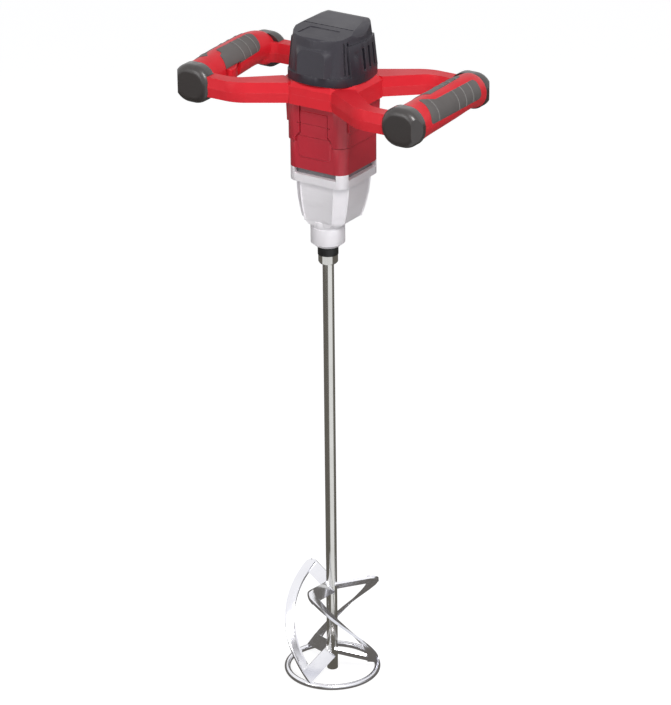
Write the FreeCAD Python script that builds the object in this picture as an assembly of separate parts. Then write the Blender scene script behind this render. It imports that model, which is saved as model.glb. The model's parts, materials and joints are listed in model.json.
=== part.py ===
import FreeCAD, Part
import math
import os

# A hand held mixing drill, in millimetres and degrees. It stands on its paddle ring at z = 0 and
# its motor axis is the Z axis. The front looks along -Y and the two grip bars lie along Y.

# Clearances and overruns shared by all pieces
seat_gap = 0.3
running_gap = 0.05
press_gap = 0.02
cut_overrun = 5.0

# Paddle: ring, shaft, hex and three ribbon blades
paddle_diameter = 140.0
ring_wire_diameter = 8.5
paddle_shaft_diameter = 16.0
paddle_shaft_bottom = 1.0
hex_bottom = 640.4
hex_height = 13.0
hex_across_flats = 24.0
hex_sides = 6
stud_diameter = 14.0
stud_length = 24.0
blade_count = 3
blade_ring_inset = 2.0
blade_bar_width = 13.0
blade_end_width = 17.5
blade_arm_width = 20.0
blade_bar_thickness = 3.5
blade_sweep_angle = 125.1
blade_first_angle = 28.4
blade_tip_height = 152.3
blade_foot_height = 9.0
blade_bulge = 5.0
blade_tip_radius = 16.0
upper_arm_root_height = 134.5
lower_arm_root_height = 29.0
blade_section_count = 9

# Output spindle, its collar and bearings
spindle_offset = 16.0
spindle_diameter = 20.0
collar_diameter = 29.0
collar_height = 12.7
spindle_bearing_diameter = 34.0
spindle_bearing_height = 14.0
oil_seal_height = 6.0
circlip_diameter = 25.0
circlip_height = 1.8
circlip_groove_depth = 0.8
gear_key_width = 4.0
gear_key_length = 9.0

# Gearbox casting
neck_diameter = 48.0
neck_height = 40.3
neck_chamfer_height = 6.0
neck_chamfer_depth = 7.5
neck_groove_width = 1.6
neck_groove_depth = 0.9
neck_groove_drop = 4.0
body_height = 58.0
body_bottom_half = 33.6
body_top_half = 42.0
body_corner_share = 0.36
body_middle_half = 39.8
body_middle_share = 0.5
body_bottom_shift = 5.4
body_middle_shift = 2.2
body_underside_half = 26.0
body_underside_shift = 13.0
body_underside_height = 5.0
body_ridge_diameter = 2.4
casting_wall = 3.5
flange_half = 47.0
flange_corner_radius = 16.0
flange_height = 11.0
flange_opening_half = 38.0
flange_opening_radius = 20.0
lug_height = 8.8
lug_length = 13.0
gearbox_bolt_diameter = 5.0
gearbox_bolt_head_diameter = 8.0
gearbox_bolt_head_height = 5.0
gearbox_bolt_length = 34.0
bolt_inset = 9.0

# Two spur stages between the motor axis and the spindle axis
stage_one_module = 2.0 / 3.0
stage_one_pinion_teeth = 12
stage_one_gear_teeth = 48
stage_one_height = 8.0
stage_two_module = 1.0
stage_two_pinion_teeth = 12
stage_two_gear_teeth = 38
stage_two_height = 12.0
stage_spacing = 6.0
plate_spacing = 4.0
pressure_angle = 20.0
addendum_share = 0.7
dedendum_share = 1.0
backlash_share = 0.12
intermediate_shaft_diameter = 6.0
intermediate_bearing_diameter = 12.0
intermediate_bearing_height = 6.0
intermediate_boss_wall = 3.0

# Bearing plate between gearbox and motor
plate_half = 40.0
plate_corner_radius = 6.0

# Motor housing
housing_half = 47.0
housing_corner_radius = 16.0
housing_height = 94.5
housing_wall = 3.0
housing_floor = 4.0
housing_floor_opening = 44.0
cheek_proud = 2.0
cheek_height = 55.0
cheek_window_half = 23.0
cheek_window_foot_half = 30.0
cheek_groove_width = 1.4
cheek_groove_depth = 1.2
cheek_jog_height = 6.0
cheek_jog_rise = 8.0
panel_half_width = 27.0
panel_height = 68.0
panel_lift = 17.0
panel_proud = 1.0
panel_slope = 1.6
panel_radius = 5.0
panel_line_width = 1.2
panel_line_depth = 0.9
panel_line_lifts = (48.0, 66.0)
side_block_half_width = 36.5
side_block_height = 33.0
side_block_top_half = 53.0
side_block_foot_half = 51.5
side_groove_width = 1.8
side_groove_depth = 1.5
housing_neck_half = 40.0
housing_neck_radius = 12.0
housing_neck_height = 62.0
bridge_height = 9.0
bridge_width = 20.0
bearing_boss_wall = 3.5

# Motor: armature, stator and brush gear
armature_shaft_diameter = 10.0
armature_bearing_diameter = 22.0
armature_bearing_height = 7.0
fan_diameter = 74.0
fan_height = 7.5
fan_hub_diameter = 22.0
fan_disc_height = 2.5
fan_blade_thickness = 2.0
fan_blade_count = 12
fan_lift = 5.0
armature_core_diameter = 46.0
core_height = 64.0
core_lift = 24.5
winding_diameter = 42.0
winding_height = 10.0
commutator_diameter = 28.0
commutator_height = 20.0
commutator_lift = 8.0
air_gap = 0.6
pole_ring_wall = 12.0
pole_angle = 104.0
coil_overhang = 7.0
brush_width = 8.0
brush_height = 11.0
brush_length = 20.0
brush_holder_wall = 2.0

# Handle frame: hub, arms and grip bars
arm_height = 29.0
hub_rise = 3.0
hub_front_half = 33.4
hub_depth_half = 57.0
hub_width_half = 60.0
hub_side_half = 31.0
hub_top_chamfer = 7.0
bar_spacing = 342.0
arm_outer_half = 96.5
arm_draft = 2.2
arm_end_width = 22.5
arm_outer_elbow = 97.0
arm_inner_elbow = 110.0
arm_outer_elbow_radius = 55.0
arm_inner_elbow_radius = 35.0
arm_web_length = 16.0
arm_web_inset = 18.0
arm_web_radius = 15.0
frame_wall = 3.2
bar_diameter = 49.0
bar_section_shares = (-1.0, -0.77, -0.4, 0.0, 0.4, 0.77, 1.0)
bar_swells = (5.0, 3.0, 2.0, 0.6, -0.6, -1.4, 0.4)
bar_outward_bows = (0.0, -0.5, 1.0, 2.5, 3.2, 3.0, 0.5)
bar_upward_bows = (0.0, 1.0, 3.0, 4.5, 6.0, 6.0, 1.5)
bar_end_bore_diameter = 30.0
bar_end_overlap = 4.0
frame_screw_diameter = 4.0
frame_screw_head_diameter = 7.5
frame_screw_head_height = 3.0
frame_screw_sink = 9.0
frame_boss_diameter = 9.0
frame_screw_x = 104.0
frame_screw_y = 84.0

# Grip panels and bumpers
grip_depth = 1.9
grip_proud = 0.7
grip_centre_outward = 2.5
grip_centre_rise = 4.5
outer_grip_angle = 26.0
outer_grip_places = (-55.0, -34.0, 59.0, 62.0, -63.0)
outer_grip_offsets = (23.5, 14.0, 14.0, -14.0, -14.0)
outer_grip_radii = (4.0, 8.0, 6.0, 6.0, 5.0)
inner_grip_angle = 125.0
inner_grip_places = (-29.0, 52.0, 47.0, -43.0, -38.0, -31.0)
inner_grip_offsets = (-14.0, -15.0, 15.0, 21.0, -1.0, -4.0)
inner_grip_radii = (2.0, 6.0, 8.0, 1.5, 1.5, 1.5)
rib_proud = 0.7
rib_width = 1.5
outer_rib_places = (-44.0, 4.0, 22.0, 40.0)
inner_rib_places = (6.0, 22.0, 38.0)
front_bumper_diameter = 54.5
rear_bumper_diameter = 49.0
bumper_proud = 3.5
bumper_length = 21.0
bumper_floor = 11.0
bumper_wall = 3.6
bumper_inner_reach = 33.0
bumper_corner_share = 0.96
bumper_edge_radius = 10.0
bumper_crease = 17.0
bumper_slant_depth = 14.0
gland_diameter = 18.0
gland_bore_diameter = 9.0

# Trigger in the left grip bar, measured from the bar's axis
trigger_height = 19.0
trigger_pin_diameter = 4.0
trigger_pin_length = 35.0
trigger_pin_inset = 10.5
trigger_pin_lift = 4.0
trigger_pin_y = -9.0
trigger_hub_radius = 4.5
trigger_nose_y = -42.0
trigger_nose_reach = 32.0
trigger_tail_reach = 20.0
trigger_thickness = 11.0
trigger_nose_radius = 4.5
trigger_slot_gap = 0.6
trigger_slot_front_gap = 2.4
push_rod_diameter = 6.0
push_rod_y = -27.0
push_rod_length = 18.0
switch_width = 28.0
switch_height = 18.0
switch_length = 74.0
switch_back = 23.5
switch_front_y = -40.0
switch_pocket_gap = 2.2

# Cover
cover_skirt_half = 56.0
cover_side_radius = 95.0
cover_corner_radius = 25.0
cover_skirt_height = 12.0
cover_step = 2.5
cover_wall_height = 47.0
cover_top_half = 48.5
cover_roof_height = 16.0
cover_rim_half = 46.5
roof_flat_half = 30.0
roof_shoulder_half = 45.0
roof_shoulder_rise = 10.0
roof_shoulder_radius = 15.0
roof_flat_radius = 30.0
roof_side_rise = 1.6
roof_front_rise = 3.2
roof_front_radius = 4.0
roof_back_radius = 16.0
roof_rear_radius = 7.0
roof_break_y = -9.0
roof_break_rise = 11.5
roof_back_y = 38.0
roof_back_rise = 11.0
cover_core_half = 27.0
cover_wall = 3.0
cover_panel_half = 31.0
cover_panel_height = 44.0
cover_panel_radius = 11.0
cover_panel_proud = 1.8
cover_panel_slope = 9.0
flute_width = 2.8
flute_depth = 2.0
flute_lift = 3.0
flute_angles = (34.0, 40.5)
roof_groove_half = 40.0
roof_groove_width = 1.6
roof_groove_depth = 0.9
roof_recess_back = -17.0
roof_recess_front = -37.0
roof_recess_back_half = 24.0
roof_recess_front_half = 32.0
vent_block_front = -31.0
vent_block_back = 38.0
vent_block_height = 43.0
vent_block_proud = 2.8
vent_slot_width = 5.0
vent_slot_height = 30.0
vent_slot_lift = 5.0
vent_slot_pitch = 14.0
vent_slot_first = -4.8
vent_slot_count = 3
dimple_diameter = 6.0
dimple_depth = 0.9
dimple_y = -20.0
dimple_lift = 29.0
cover_screw_x = 28.0
cover_screw_y = 48.5
cover_screw_length = 33.0
cover_boss_diameter = 9.0
cover_boss_height = 11.5

# Heights that follow from the stack
spindle_bottom = hex_bottom + hex_height
neck_bottom = spindle_bottom + collar_height + seat_gap
body_bottom = neck_bottom + neck_height
flange_bottom = body_bottom + body_height
flange_top = flange_bottom + flange_height
housing_bottom = flange_top + lug_height
frame_bottom = housing_bottom + housing_height
arm_top = frame_bottom + arm_height
hub_top = arm_top + hub_rise
frame_mid = frame_bottom + arm_height / 2
cover_wall_bottom = hub_top + cover_skirt_height
cover_wall_top = cover_wall_bottom + cover_wall_height
cover_top = cover_wall_top + cover_roof_height
stage_one_top = flange_top - plate_spacing
stage_one_bottom = stage_one_top - stage_one_height
stage_two_top = stage_one_bottom - stage_spacing
stage_two_bottom = stage_two_top - stage_two_height
spindle_boss_top = stage_two_bottom - plate_spacing
upper_bearing_bottom = spindle_boss_top - spindle_bearing_height
lower_bearing_bottom = neck_bottom + oil_seal_height + 2 * seat_gap
intermediate_bearing_bottom = spindle_boss_top - intermediate_bearing_height
core_bottom = housing_bottom + core_lift
core_top = core_bottom + core_height
commutator_bottom = core_top + winding_height + commutator_lift
housing_neck_top = frame_bottom + housing_neck_height
top_bearing_bottom = housing_neck_top - bridge_height
brush_middle = commutator_bottom + commutator_height / 2

# Widths that follow from others
blade_outer_diameter = paddle_diameter - 2 * blade_ring_inset
arm_inner_half = arm_outer_half - arm_end_width
arm_web_half = arm_inner_half - arm_web_length
bumper_front_half = arm_outer_half + bumper_proud
bar_shoulder_half = bumper_front_half - bumper_length
bar_wall = grip_depth + frame_wall

# Axes in plan
spindle_axis = FreeCAD.Vector(0, -spindle_offset, 0)
motor_axis = FreeCAD.Vector(0, 0, 0)
bar_x = bar_spacing / 2
stage_one_reach = stage_one_module * (stage_one_pinion_teeth + stage_one_gear_teeth) / 2
stage_two_reach = stage_two_module * (stage_two_pinion_teeth + stage_two_gear_teeth) / 2
intermediate_y = (stage_two_reach**2 - stage_one_reach**2 - spindle_offset**2) / (2 * spindle_offset)
intermediate_x = math.sqrt(stage_one_reach**2 - intermediate_y**2)
intermediate_axis = FreeCAD.Vector(intermediate_x, intermediate_y, 0)

up = FreeCAD.Vector(0, 0, 1)
along_x = FreeCAD.Vector(1, 0, 0)
along_y = FreeCAD.Vector(0, 1, 0)
origin = FreeCAD.Vector(0, 0, 0)
half_turn = 180.0
full_turn = 360.0
quadrants = ((1, 1), (1, -1), (-1, 1), (-1, -1))


def at_height(point, z):
    """The plan point at height z."""
    return FreeCAD.Vector(point.x, point.y, z)


def rod(diameter, bottom, top, axis_point):
    """An upright cylinder on a plan point."""
    return Part.makeCylinder(diameter / 2, top - bottom, at_height(axis_point, bottom))


def tube(outer, inner, bottom, top, axis_point):
    """An upright ring on a plan point."""
    hole = rod(inner, bottom - cut_overrun, top + cut_overrun, axis_point)
    return rod(outer, bottom, top, axis_point).cut(hole)


def block(low, high):
    """A box between two corners."""
    size = FreeCAD.Vector(*high) - FreeCAD.Vector(*low)
    return Part.makeBox(size.x, size.y, size.z, FreeCAD.Vector(*low))


def joined(shapes):
    """One solid from touching shapes, with its seams removed."""
    whole = shapes[0]
    if len(shapes) > 1:
        whole = whole.multiFuse(shapes[1:])
    return whole.removeSplitter()


def group(shapes):
    """Separate solids kept in one piece."""
    return Part.makeCompound(shapes)


def rounded_corner(before, here, after, radius):
    """Start, middle and end of the arc that rounds a corner, or the bare corner."""
    if radius == 0:
        return here, None, here
    back = (before - here).normalize()
    ahead = (after - here).normalize()
    half_angle = back.getAngle(ahead) / 2
    reach = radius / math.tan(half_angle)
    inward = (back + ahead).normalize()
    middle = here + inward * (radius / math.sin(half_angle) - radius)
    return here + back * reach, middle, here + ahead * reach


def outline(points, radii, z):
    """A closed wire at height z through plan points, each corner with its own radius."""
    places = [FreeCAD.Vector(x, y, z) for x, y in points]
    count = len(places)
    corners = []
    for i in range(count):
        corners.append(rounded_corner(places[i - 1], places[i], places[(i + 1) % count], radii[i]))
    edges = []
    for i in range(count):
        start, middle, end = corners[i]
        if middle is not None:
            edges.append(Part.Arc(start, middle, end).toShape())
        following = corners[(i + 1) % count][0]
        if end.distanceToPoint(following) > press_gap:
            edges.append(Part.LineSegment(end, following).toShape())
    return Part.Wire(edges)


def drawn_in(points, inset):
    """The corners of an anticlockwise plan outline with every side moved in by the same distance."""
    corners = [FreeCAD.Vector(x, y, 0) for x, y in points]
    normals = [up.cross(after - here).normalize() for here, after in zip(corners, corners[1:] + corners[:1])]
    moved = []
    for corner, before, after in zip(corners, normals[-1:] + normals[:-1], normals):
        moved.append(corner + (before + after) * (inset / (1 + before.dot(after))))
    return [(corner.x, corner.y) for corner in moved]


def rounded_square(half, radius, z):
    """A square outline round the motor axis with rounded corners."""
    points = [(half, half), (-half, half), (-half, -half), (half, -half)]
    return outline(points, [radius] * len(points), z)


def chamfered_square(half, shift, z):
    """A square outline with flat cut corners, shifted forward from the motor axis."""
    short = half * (1 - body_corner_share)
    points = [(half, short), (short, half), (-short, half), (-half, short)]
    points += [(-x, -y) for x, y in points]
    return outline([(x, y - shift) for x, y in points], [0] * len(points), z)


def prism(wire, height):
    """The solid above a plan outline."""
    return Part.Face(wire).extrude(up * height)


def square_prism(half, radius, bottom, top):
    """An upright square block with rounded corners."""
    return prism(rounded_square(half, radius, bottom), top - bottom)


def loft(wires):
    """A straight sided solid through outlines."""
    return Part.makeLoft(wires, True, True)


def mirrored_x(shape):
    return shape.mirror(origin, along_x)


def mirrored_y(shape):
    return shape.mirror(origin, along_y)


def placed(shape, quadrant):
    """A front right shape, mirrored into the named quadrant."""
    side, depth = quadrant
    shape = shape if side > 0 else mirrored_x(shape)
    return shape if depth < 0 else mirrored_y(shape)


def front_prism(points, radii, y_start, y_end):
    """A solid along Y over an outline drawn in X and Z."""
    flat = prism(outline(points, radii, 0), y_end - y_start)
    flat.rotate(origin, along_x, half_turn / 2)
    flat.translate(along_y * y_end)
    return flat


def front_relief(points, radii, slope, y_start, y_end):
    """A solid along Y whose outline, drawn in X and Z, is drawn in towards the front."""
    solid = loft([outline(points, radii, 0), outline(drawn_in(points, slope), radii, y_end - y_start)])
    solid.rotate(origin, along_x, half_turn / 2)
    solid.translate(along_y * y_end)
    return solid


# Paddle


def paddle_ring():
    wire_radius = ring_wire_diameter / 2
    centre = at_height(spindle_axis, wire_radius)
    return Part.makeTorus(paddle_diameter / 2 - wire_radius, wire_radius, centre)


def paddle_shaft():
    shaft = rod(paddle_shaft_diameter, paddle_shaft_bottom, spindle_bottom, spindle_axis)
    stud = rod(stud_diameter, spindle_bottom, spindle_bottom + stud_length, spindle_axis)
    return joined([shaft, stud])


def paddle_hex():
    corner_radius = hex_across_flats / 2 / math.cos(math.radians(half_turn / hex_sides))
    points = []
    for i in range(hex_sides):
        angle = math.radians(blade_first_angle + i * full_turn / hex_sides)
        points.append((corner_radius * math.cos(angle), corner_radius * math.sin(angle) - spindle_offset))
    nut = prism(outline(points, [0] * len(points), hex_bottom), hex_height)
    cone_height = hex_height + hex_across_flats
    cone = Part.makeCone(hex_across_flats / 2, hex_across_flats / 2 + cone_height,
                         cone_height, at_height(spindle_axis, hex_bottom))
    bore = rod(paddle_shaft_diameter + 2 * press_gap, hex_bottom - cut_overrun,
               spindle_bottom + cut_overrun, spindle_axis)
    return nut.common(cone).cut(bore)


def ribbon_point(share, radius):
    """A point of the blade's helix: share 0 is the tip and share 1 the foot."""
    angle = math.radians(blade_sweep_angle * share)
    fall = (blade_foot_height - blade_tip_height) * share
    z = blade_tip_height + fall + blade_bulge * math.sin(math.pi * share)
    return FreeCAD.Vector(radius * math.cos(angle), radius * math.sin(angle), z)


def ribbon_slope():
    """The blade's fall angle along its middle radius, in radians."""
    middle_radius = (blade_outer_diameter - blade_bar_width) / 2
    run = middle_radius * math.radians(blade_sweep_angle)
    return math.atan((blade_tip_height - blade_foot_height) / run)


def ribbon_length():
    return (blade_tip_height - blade_foot_height) / math.sin(ribbon_slope())


def ribbon_width(share):
    """The ribbon's width, which grows from its middle to its ends."""
    off_middle = 2 * share - 1
    return blade_bar_width + (blade_end_width - blade_bar_width) * off_middle ** 2


def blade_ribbon():
    outer = blade_outer_diameter / 2
    half_rise = up * (blade_bar_thickness / math.cos(ribbon_slope()) / 2)
    end_share = blade_arm_width / 4 / ribbon_length()
    sections = []
    for i in range(blade_section_count):
        share = end_share + (1 - 2 * end_share) * i / (blade_section_count - 1)
        inner = outer - ribbon_width(share)
        low, high = ribbon_point(share, inner), ribbon_point(share, outer)
        corners = [low - half_rise, high - half_rise, high + half_rise, low + half_rise]
        sections.append(Part.makePolygon(corners + corners[:1]))
    return Part.makeLoft(sections, True, False)


def blade_heading(share):
    """The way the ribbon falls along its length."""
    angle = math.radians(blade_sweep_angle * share)
    slope = ribbon_slope()
    return FreeCAD.Vector(-math.sin(angle), math.cos(angle), 0) * math.cos(slope) - up * math.sin(slope)


def blade_arm(share, root_height):
    """A flat bar from the shaft to the ribbon, leaning as the ribbon does there."""
    angle = math.radians(blade_sweep_angle * share)
    ahead = blade_heading(share)
    outer_end = ribbon_point(share, blade_outer_diameter / 2)
    root_radius = paddle_shaft_diameter / 4
    root = FreeCAD.Vector(root_radius * math.cos(angle), root_radius * math.sin(angle), root_height)
    outward = (outer_end - root).normalize()
    face_normal = outward.cross(ahead).normalize()
    sections = []
    for place in (root, outer_end):
        across = ahead * (blade_arm_width / 2)
        through = face_normal * (blade_bar_thickness / 2)
        corners = [place - across - through, place + across - through,
                   place + across + through, place - across + through]
        sections.append(Part.makePolygon(corners + corners[:1]))
    return loft(sections)


def blade_tip_cutter():
    """What is taken off the ribbon's outer corner at the tip to leave it round."""
    reach = blade_tip_radius + blade_bar_thickness
    depth = blade_bar_width
    square = Part.makeBox(reach, reach, 2 * depth, FreeCAD.Vector(0, 0, -depth))
    cutter = square.cut(Part.makeCylinder(blade_tip_radius, 2 * depth, FreeCAD.Vector(0, 0, -depth)))
    outward = along_x
    uphill = blade_heading(0) * -1
    through = outward.cross(uphill)
    corner = ribbon_point(0, blade_outer_diameter / 2) - (outward + uphill) * blade_tip_radius
    cutter.Placement = FreeCAD.Placement(FreeCAD.Matrix(
        outward.x, uphill.x, through.x, corner.x,
        outward.y, uphill.y, through.y, corner.y,
        outward.z, uphill.z, through.z, corner.z))
    return cutter


def paddle_blade(index):
    upper_arm = blade_arm(blade_arm_width / 2 / ribbon_length(), upper_arm_root_height)
    lower_arm = blade_arm(1 - blade_bar_width / 2 / ribbon_length(), lower_arm_root_height)
    blade = joined([blade_ribbon(), upper_arm, lower_arm]).cut(blade_tip_cutter())
    blade.rotate(origin, up, blade_first_angle + index * full_turn / blade_count)
    blade.translate(spindle_axis)
    return blade.cut(paddle_shaft()).cut(paddle_ring())


# Spindle


def key_block():
    """The key between the spindle and its gear, half in each."""
    middle = spindle_diameter / 2 - spindle_offset
    bottom = stage_two_bottom + (stage_two_height - gear_key_length) / 2
    return block((-gear_key_width / 2, middle - gear_key_width / 2, bottom),
                 (gear_key_width / 2, middle + gear_key_width / 2, bottom + gear_key_length))


def circlip_bottom():
    return lower_bearing_bottom + spindle_bearing_height + seat_gap


def output_spindle():
    spindle = rod(spindle_diameter, spindle_bottom, stage_two_top + seat_gap, spindle_axis)
    socket = rod(stud_diameter + 2 * press_gap, spindle_bottom - cut_overrun,
                 spindle_bottom + stud_length + seat_gap, spindle_axis)
    groove = tube(circlip_diameter, spindle_diameter - 2 * circlip_groove_depth, circlip_bottom(),
                  circlip_bottom() + circlip_height, spindle_axis)
    return spindle.cut(socket).cut(groove).cut(key_block())


def spindle_collar():
    return tube(collar_diameter, spindle_diameter + 2 * press_gap, spindle_bottom,
                spindle_bottom + collar_height, spindle_axis)


def circlip():
    ring = tube(circlip_diameter, spindle_diameter - 2 * circlip_groove_depth + 2 * press_gap,
                circlip_bottom(), circlip_bottom() + circlip_height, spindle_axis)
    mouth_half = circlip_diameter / 6
    mouth = block((-mouth_half, -spindle_offset, circlip_bottom() - cut_overrun),
                  (mouth_half, -spindle_offset + circlip_diameter, circlip_bottom() + cut_overrun))
    return ring.cut(mouth)


def spindle_bearing(bottom):
    return tube(spindle_bearing_diameter - 2 * press_gap, spindle_diameter + 2 * running_gap, bottom,
                bottom + spindle_bearing_height, spindle_axis)


def oil_seal():
    return tube(spindle_bearing_diameter - 2 * press_gap, spindle_diameter + 2 * running_gap,
                neck_bottom + seat_gap, neck_bottom + seat_gap + oil_seal_height, spindle_axis)


# Gears


def involute(angle):
    return math.tan(angle) - angle


def gear(teeth, module, bottom, height, axis_point, faced_point, tooth_faces, bore):
    """A spur gear whose tooth, or gap, faces another gear's axis."""
    pitch_radius = module * teeth / 2
    base_radius = pitch_radius * math.cos(math.radians(pressure_angle))
    tip_radius = pitch_radius + addendum_share * module
    root_radius = pitch_radius - dedendum_share * module
    pitch_half = math.pi / (2 * teeth) - backlash_share * module / pitch_radius / 2
    flank_start = max(base_radius, root_radius)
    flank_shares = (0, 0.35, 0.7, 1)
    flank = []
    if root_radius < flank_start:
        flank.append((root_radius, pitch_half + involute(math.radians(pressure_angle))))
    for share in flank_shares:
        radius = flank_start + (tip_radius - flank_start) * share
        lean = involute(math.acos(min(1, base_radius / radius)))
        flank.append((radius, pitch_half + involute(math.radians(pressure_angle)) - lean))
    facing = math.atan2(faced_point.y - axis_point.y, faced_point.x - axis_point.x)
    first = facing if tooth_faces else facing + math.pi / teeth
    points = []
    for i in range(teeth):
        middle = first + i * 2 * math.pi / teeth
        for radius, half in flank:
            points.append((radius, middle - half))
        for radius, half in reversed(flank):
            points.append((radius, middle + half))
    corners = [FreeCAD.Vector(axis_point.x + radius * math.cos(angle),
                              axis_point.y + radius * math.sin(angle), bottom) for radius, angle in points]
    wheel = prism(Part.makePolygon(corners + corners[:1]), height)
    if bore > 0:
        wheel = wheel.cut(rod(bore, bottom - cut_overrun, bottom + height + cut_overrun, axis_point))
    return wheel


def motor_pinion():
    return gear(stage_one_pinion_teeth, stage_one_module, stage_one_bottom, stage_one_height,
                motor_axis, intermediate_axis, True, 0)


def intermediate_gear():
    return gear(stage_one_gear_teeth, stage_one_module, stage_one_bottom, stage_one_height,
                intermediate_axis, motor_axis, False, intermediate_shaft_diameter + 2 * press_gap)


def intermediate_pinion():
    return gear(stage_two_pinion_teeth, stage_two_module, stage_two_bottom, stage_two_height,
                intermediate_axis, spindle_axis, True, intermediate_shaft_diameter + 2 * press_gap)


def output_gear():
    wheel = gear(stage_two_gear_teeth, stage_two_module, stage_two_bottom, stage_two_height,
                 spindle_axis, intermediate_axis, False, spindle_diameter + 2 * press_gap)
    return wheel.cut(key_block())


def intermediate_shaft():
    return rod(intermediate_shaft_diameter, intermediate_bearing_bottom, housing_bottom - seat_gap,
               intermediate_axis)


def intermediate_bearings():
    outer = intermediate_bearing_diameter - 2 * press_gap
    inner = intermediate_shaft_diameter + 2 * running_gap
    lower = tube(outer, inner, intermediate_bearing_bottom, spindle_boss_top, intermediate_axis)
    upper = tube(outer, inner, flange_top, flange_top + intermediate_bearing_height, intermediate_axis)
    return group([lower, upper])


# Gearbox casting


def body_middle():
    return body_bottom + body_height * body_middle_share


def casting_solid(inset):
    """The bellied body, drawn in by a wall where it is the cavity."""
    sections = [chamfered_square(body_bottom_half - inset, body_bottom_shift, body_bottom + inset),
                chamfered_square(body_middle_half - inset, body_middle_shift, body_middle()),
                chamfered_square(body_top_half - inset, 0, flange_bottom)]
    return Part.makeLoft(sections, True, False)


def body_ridges():
    """Raised pencil lines down both edges of each cut corner."""
    sections = [(body_bottom_half, body_bottom_shift, body_bottom),
                (body_middle_half, body_middle_shift, body_middle()),
                (body_top_half, 0, flange_bottom)]
    ridges = []
    for side, depth in quadrants:
        for x_share, y_share in ((1, 1 - body_corner_share), (1 - body_corner_share, 1)):
            foot, middle, head = [FreeCAD.Vector(side * x_share * half, depth * y_share * half - shift, z)
                                  for half, shift, z in sections]
            line = Part.Arc(foot, middle, head)
            start = line.tangent(line.FirstParameter)[0]
            pencil = Part.Wire(Part.makeCircle(body_ridge_diameter / 2, foot, start))
            ridges.append(Part.Wire(line.toShape()).makePipeShell([pencil], True, False))
    return ridges


def corner_block(quadrant, bottom, top, gap):
    """The box that one corner lug fills, widened by a gap towards the middle."""
    side, depth = quadrant
    near = flange_half - lug_length - gap
    far = flange_half + cut_overrun
    low = (min(side * near, side * far), min(depth * near, depth * far), bottom)
    high = (max(side * near, side * far), max(depth * near, depth * far), top)
    return block(low, high)


def bolt_point(quadrant):
    side, depth = quadrant
    reach = flange_half - bolt_inset
    return FreeCAD.Vector(side * reach, depth * reach, 0)


def bolt_seat():
    return flange_bottom + gearbox_bolt_head_height


def gearbox_housing():
    neck_radius = neck_diameter / 2
    neck = rod(neck_diameter, neck_bottom + neck_chamfer_height, body_bottom, spindle_axis)
    nose = Part.makeCone(neck_radius - neck_chamfer_depth, neck_radius, neck_chamfer_height,
                         at_height(spindle_axis, neck_bottom))
    underside_bottom = body_bottom - body_underside_height
    underside = loft([chamfered_square(body_underside_half, body_underside_shift, underside_bottom),
                      chamfered_square(body_bottom_half, body_bottom_shift, body_bottom)])
    flange = square_prism(flange_half, flange_corner_radius, flange_bottom, flange_top)
    raised = square_prism(flange_half, flange_corner_radius, flange_top, housing_bottom)
    lugs = [raised.common(corner_block(q, flange_top, housing_bottom, 0)) for q in quadrants]
    outer = joined([casting_solid(0), underside, neck, nose, flange] + lugs + body_ridges())
    boss = rod(spindle_bearing_diameter + 2 * casting_wall, neck_bottom, spindle_boss_top, spindle_axis)
    seat = rod(intermediate_bearing_diameter + 2 * intermediate_boss_wall, neck_bottom, spindle_boss_top,
               intermediate_axis)
    cavity = casting_solid(casting_wall).cut(boss).cut(seat)
    mouth = square_prism(flange_opening_half, flange_opening_radius, flange_bottom, flange_top + cut_overrun)
    bore = rod(spindle_bearing_diameter, neck_bottom - cut_overrun, spindle_boss_top + cut_overrun,
               spindle_axis)
    bearing_seat = rod(intermediate_bearing_diameter, intermediate_bearing_bottom,
                       spindle_boss_top + cut_overrun, intermediate_axis)
    groove_top = body_bottom - body_underside_height - neck_groove_drop
    groove = tube(neck_diameter + cut_overrun, neck_diameter - 2 * neck_groove_depth,
                  groove_top - neck_groove_width, groove_top, spindle_axis)
    bolt_holes = [rod(gearbox_bolt_diameter + 2 * running_gap, flange_bottom - cut_overrun,
                      housing_bottom + cut_overrun, bolt_point(q)) for q in quadrants]
    bolt_holes += [rod(gearbox_bolt_head_diameter + 2 * seat_gap, flange_bottom - cut_overrun, bolt_seat(),
                       bolt_point(q)) for q in quadrants]
    cuts = [cavity, mouth, bore, bearing_seat, groove] + bolt_holes
    return outer.cut(cuts)


def gearbox_bolts():
    """Four socket bolts from under the flange up into the motor housing's corners."""
    bolts = []
    for q in quadrants:
        head = rod(gearbox_bolt_head_diameter, flange_bottom, bolt_seat(), bolt_point(q))
        shank = rod(gearbox_bolt_diameter, bolt_seat(), flange_bottom + gearbox_bolt_length, bolt_point(q))
        bolts.append(joined([head, shank]))
    return group(bolts)


def bearing_plate():
    plate = square_prism(plate_half, plate_corner_radius, flange_top, housing_bottom)
    low, high = flange_top - cut_overrun, housing_bottom + cut_overrun
    cuts = [corner_block(q, low, high, seat_gap) for q in quadrants]
    cuts.append(rod(armature_bearing_diameter, low, high, motor_axis))
    cuts.append(rod(intermediate_bearing_diameter, flange_top - cut_overrun, housing_bottom + cut_overrun,
                    intermediate_axis))
    return plate.cut(cuts)


# Motor housing


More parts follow.
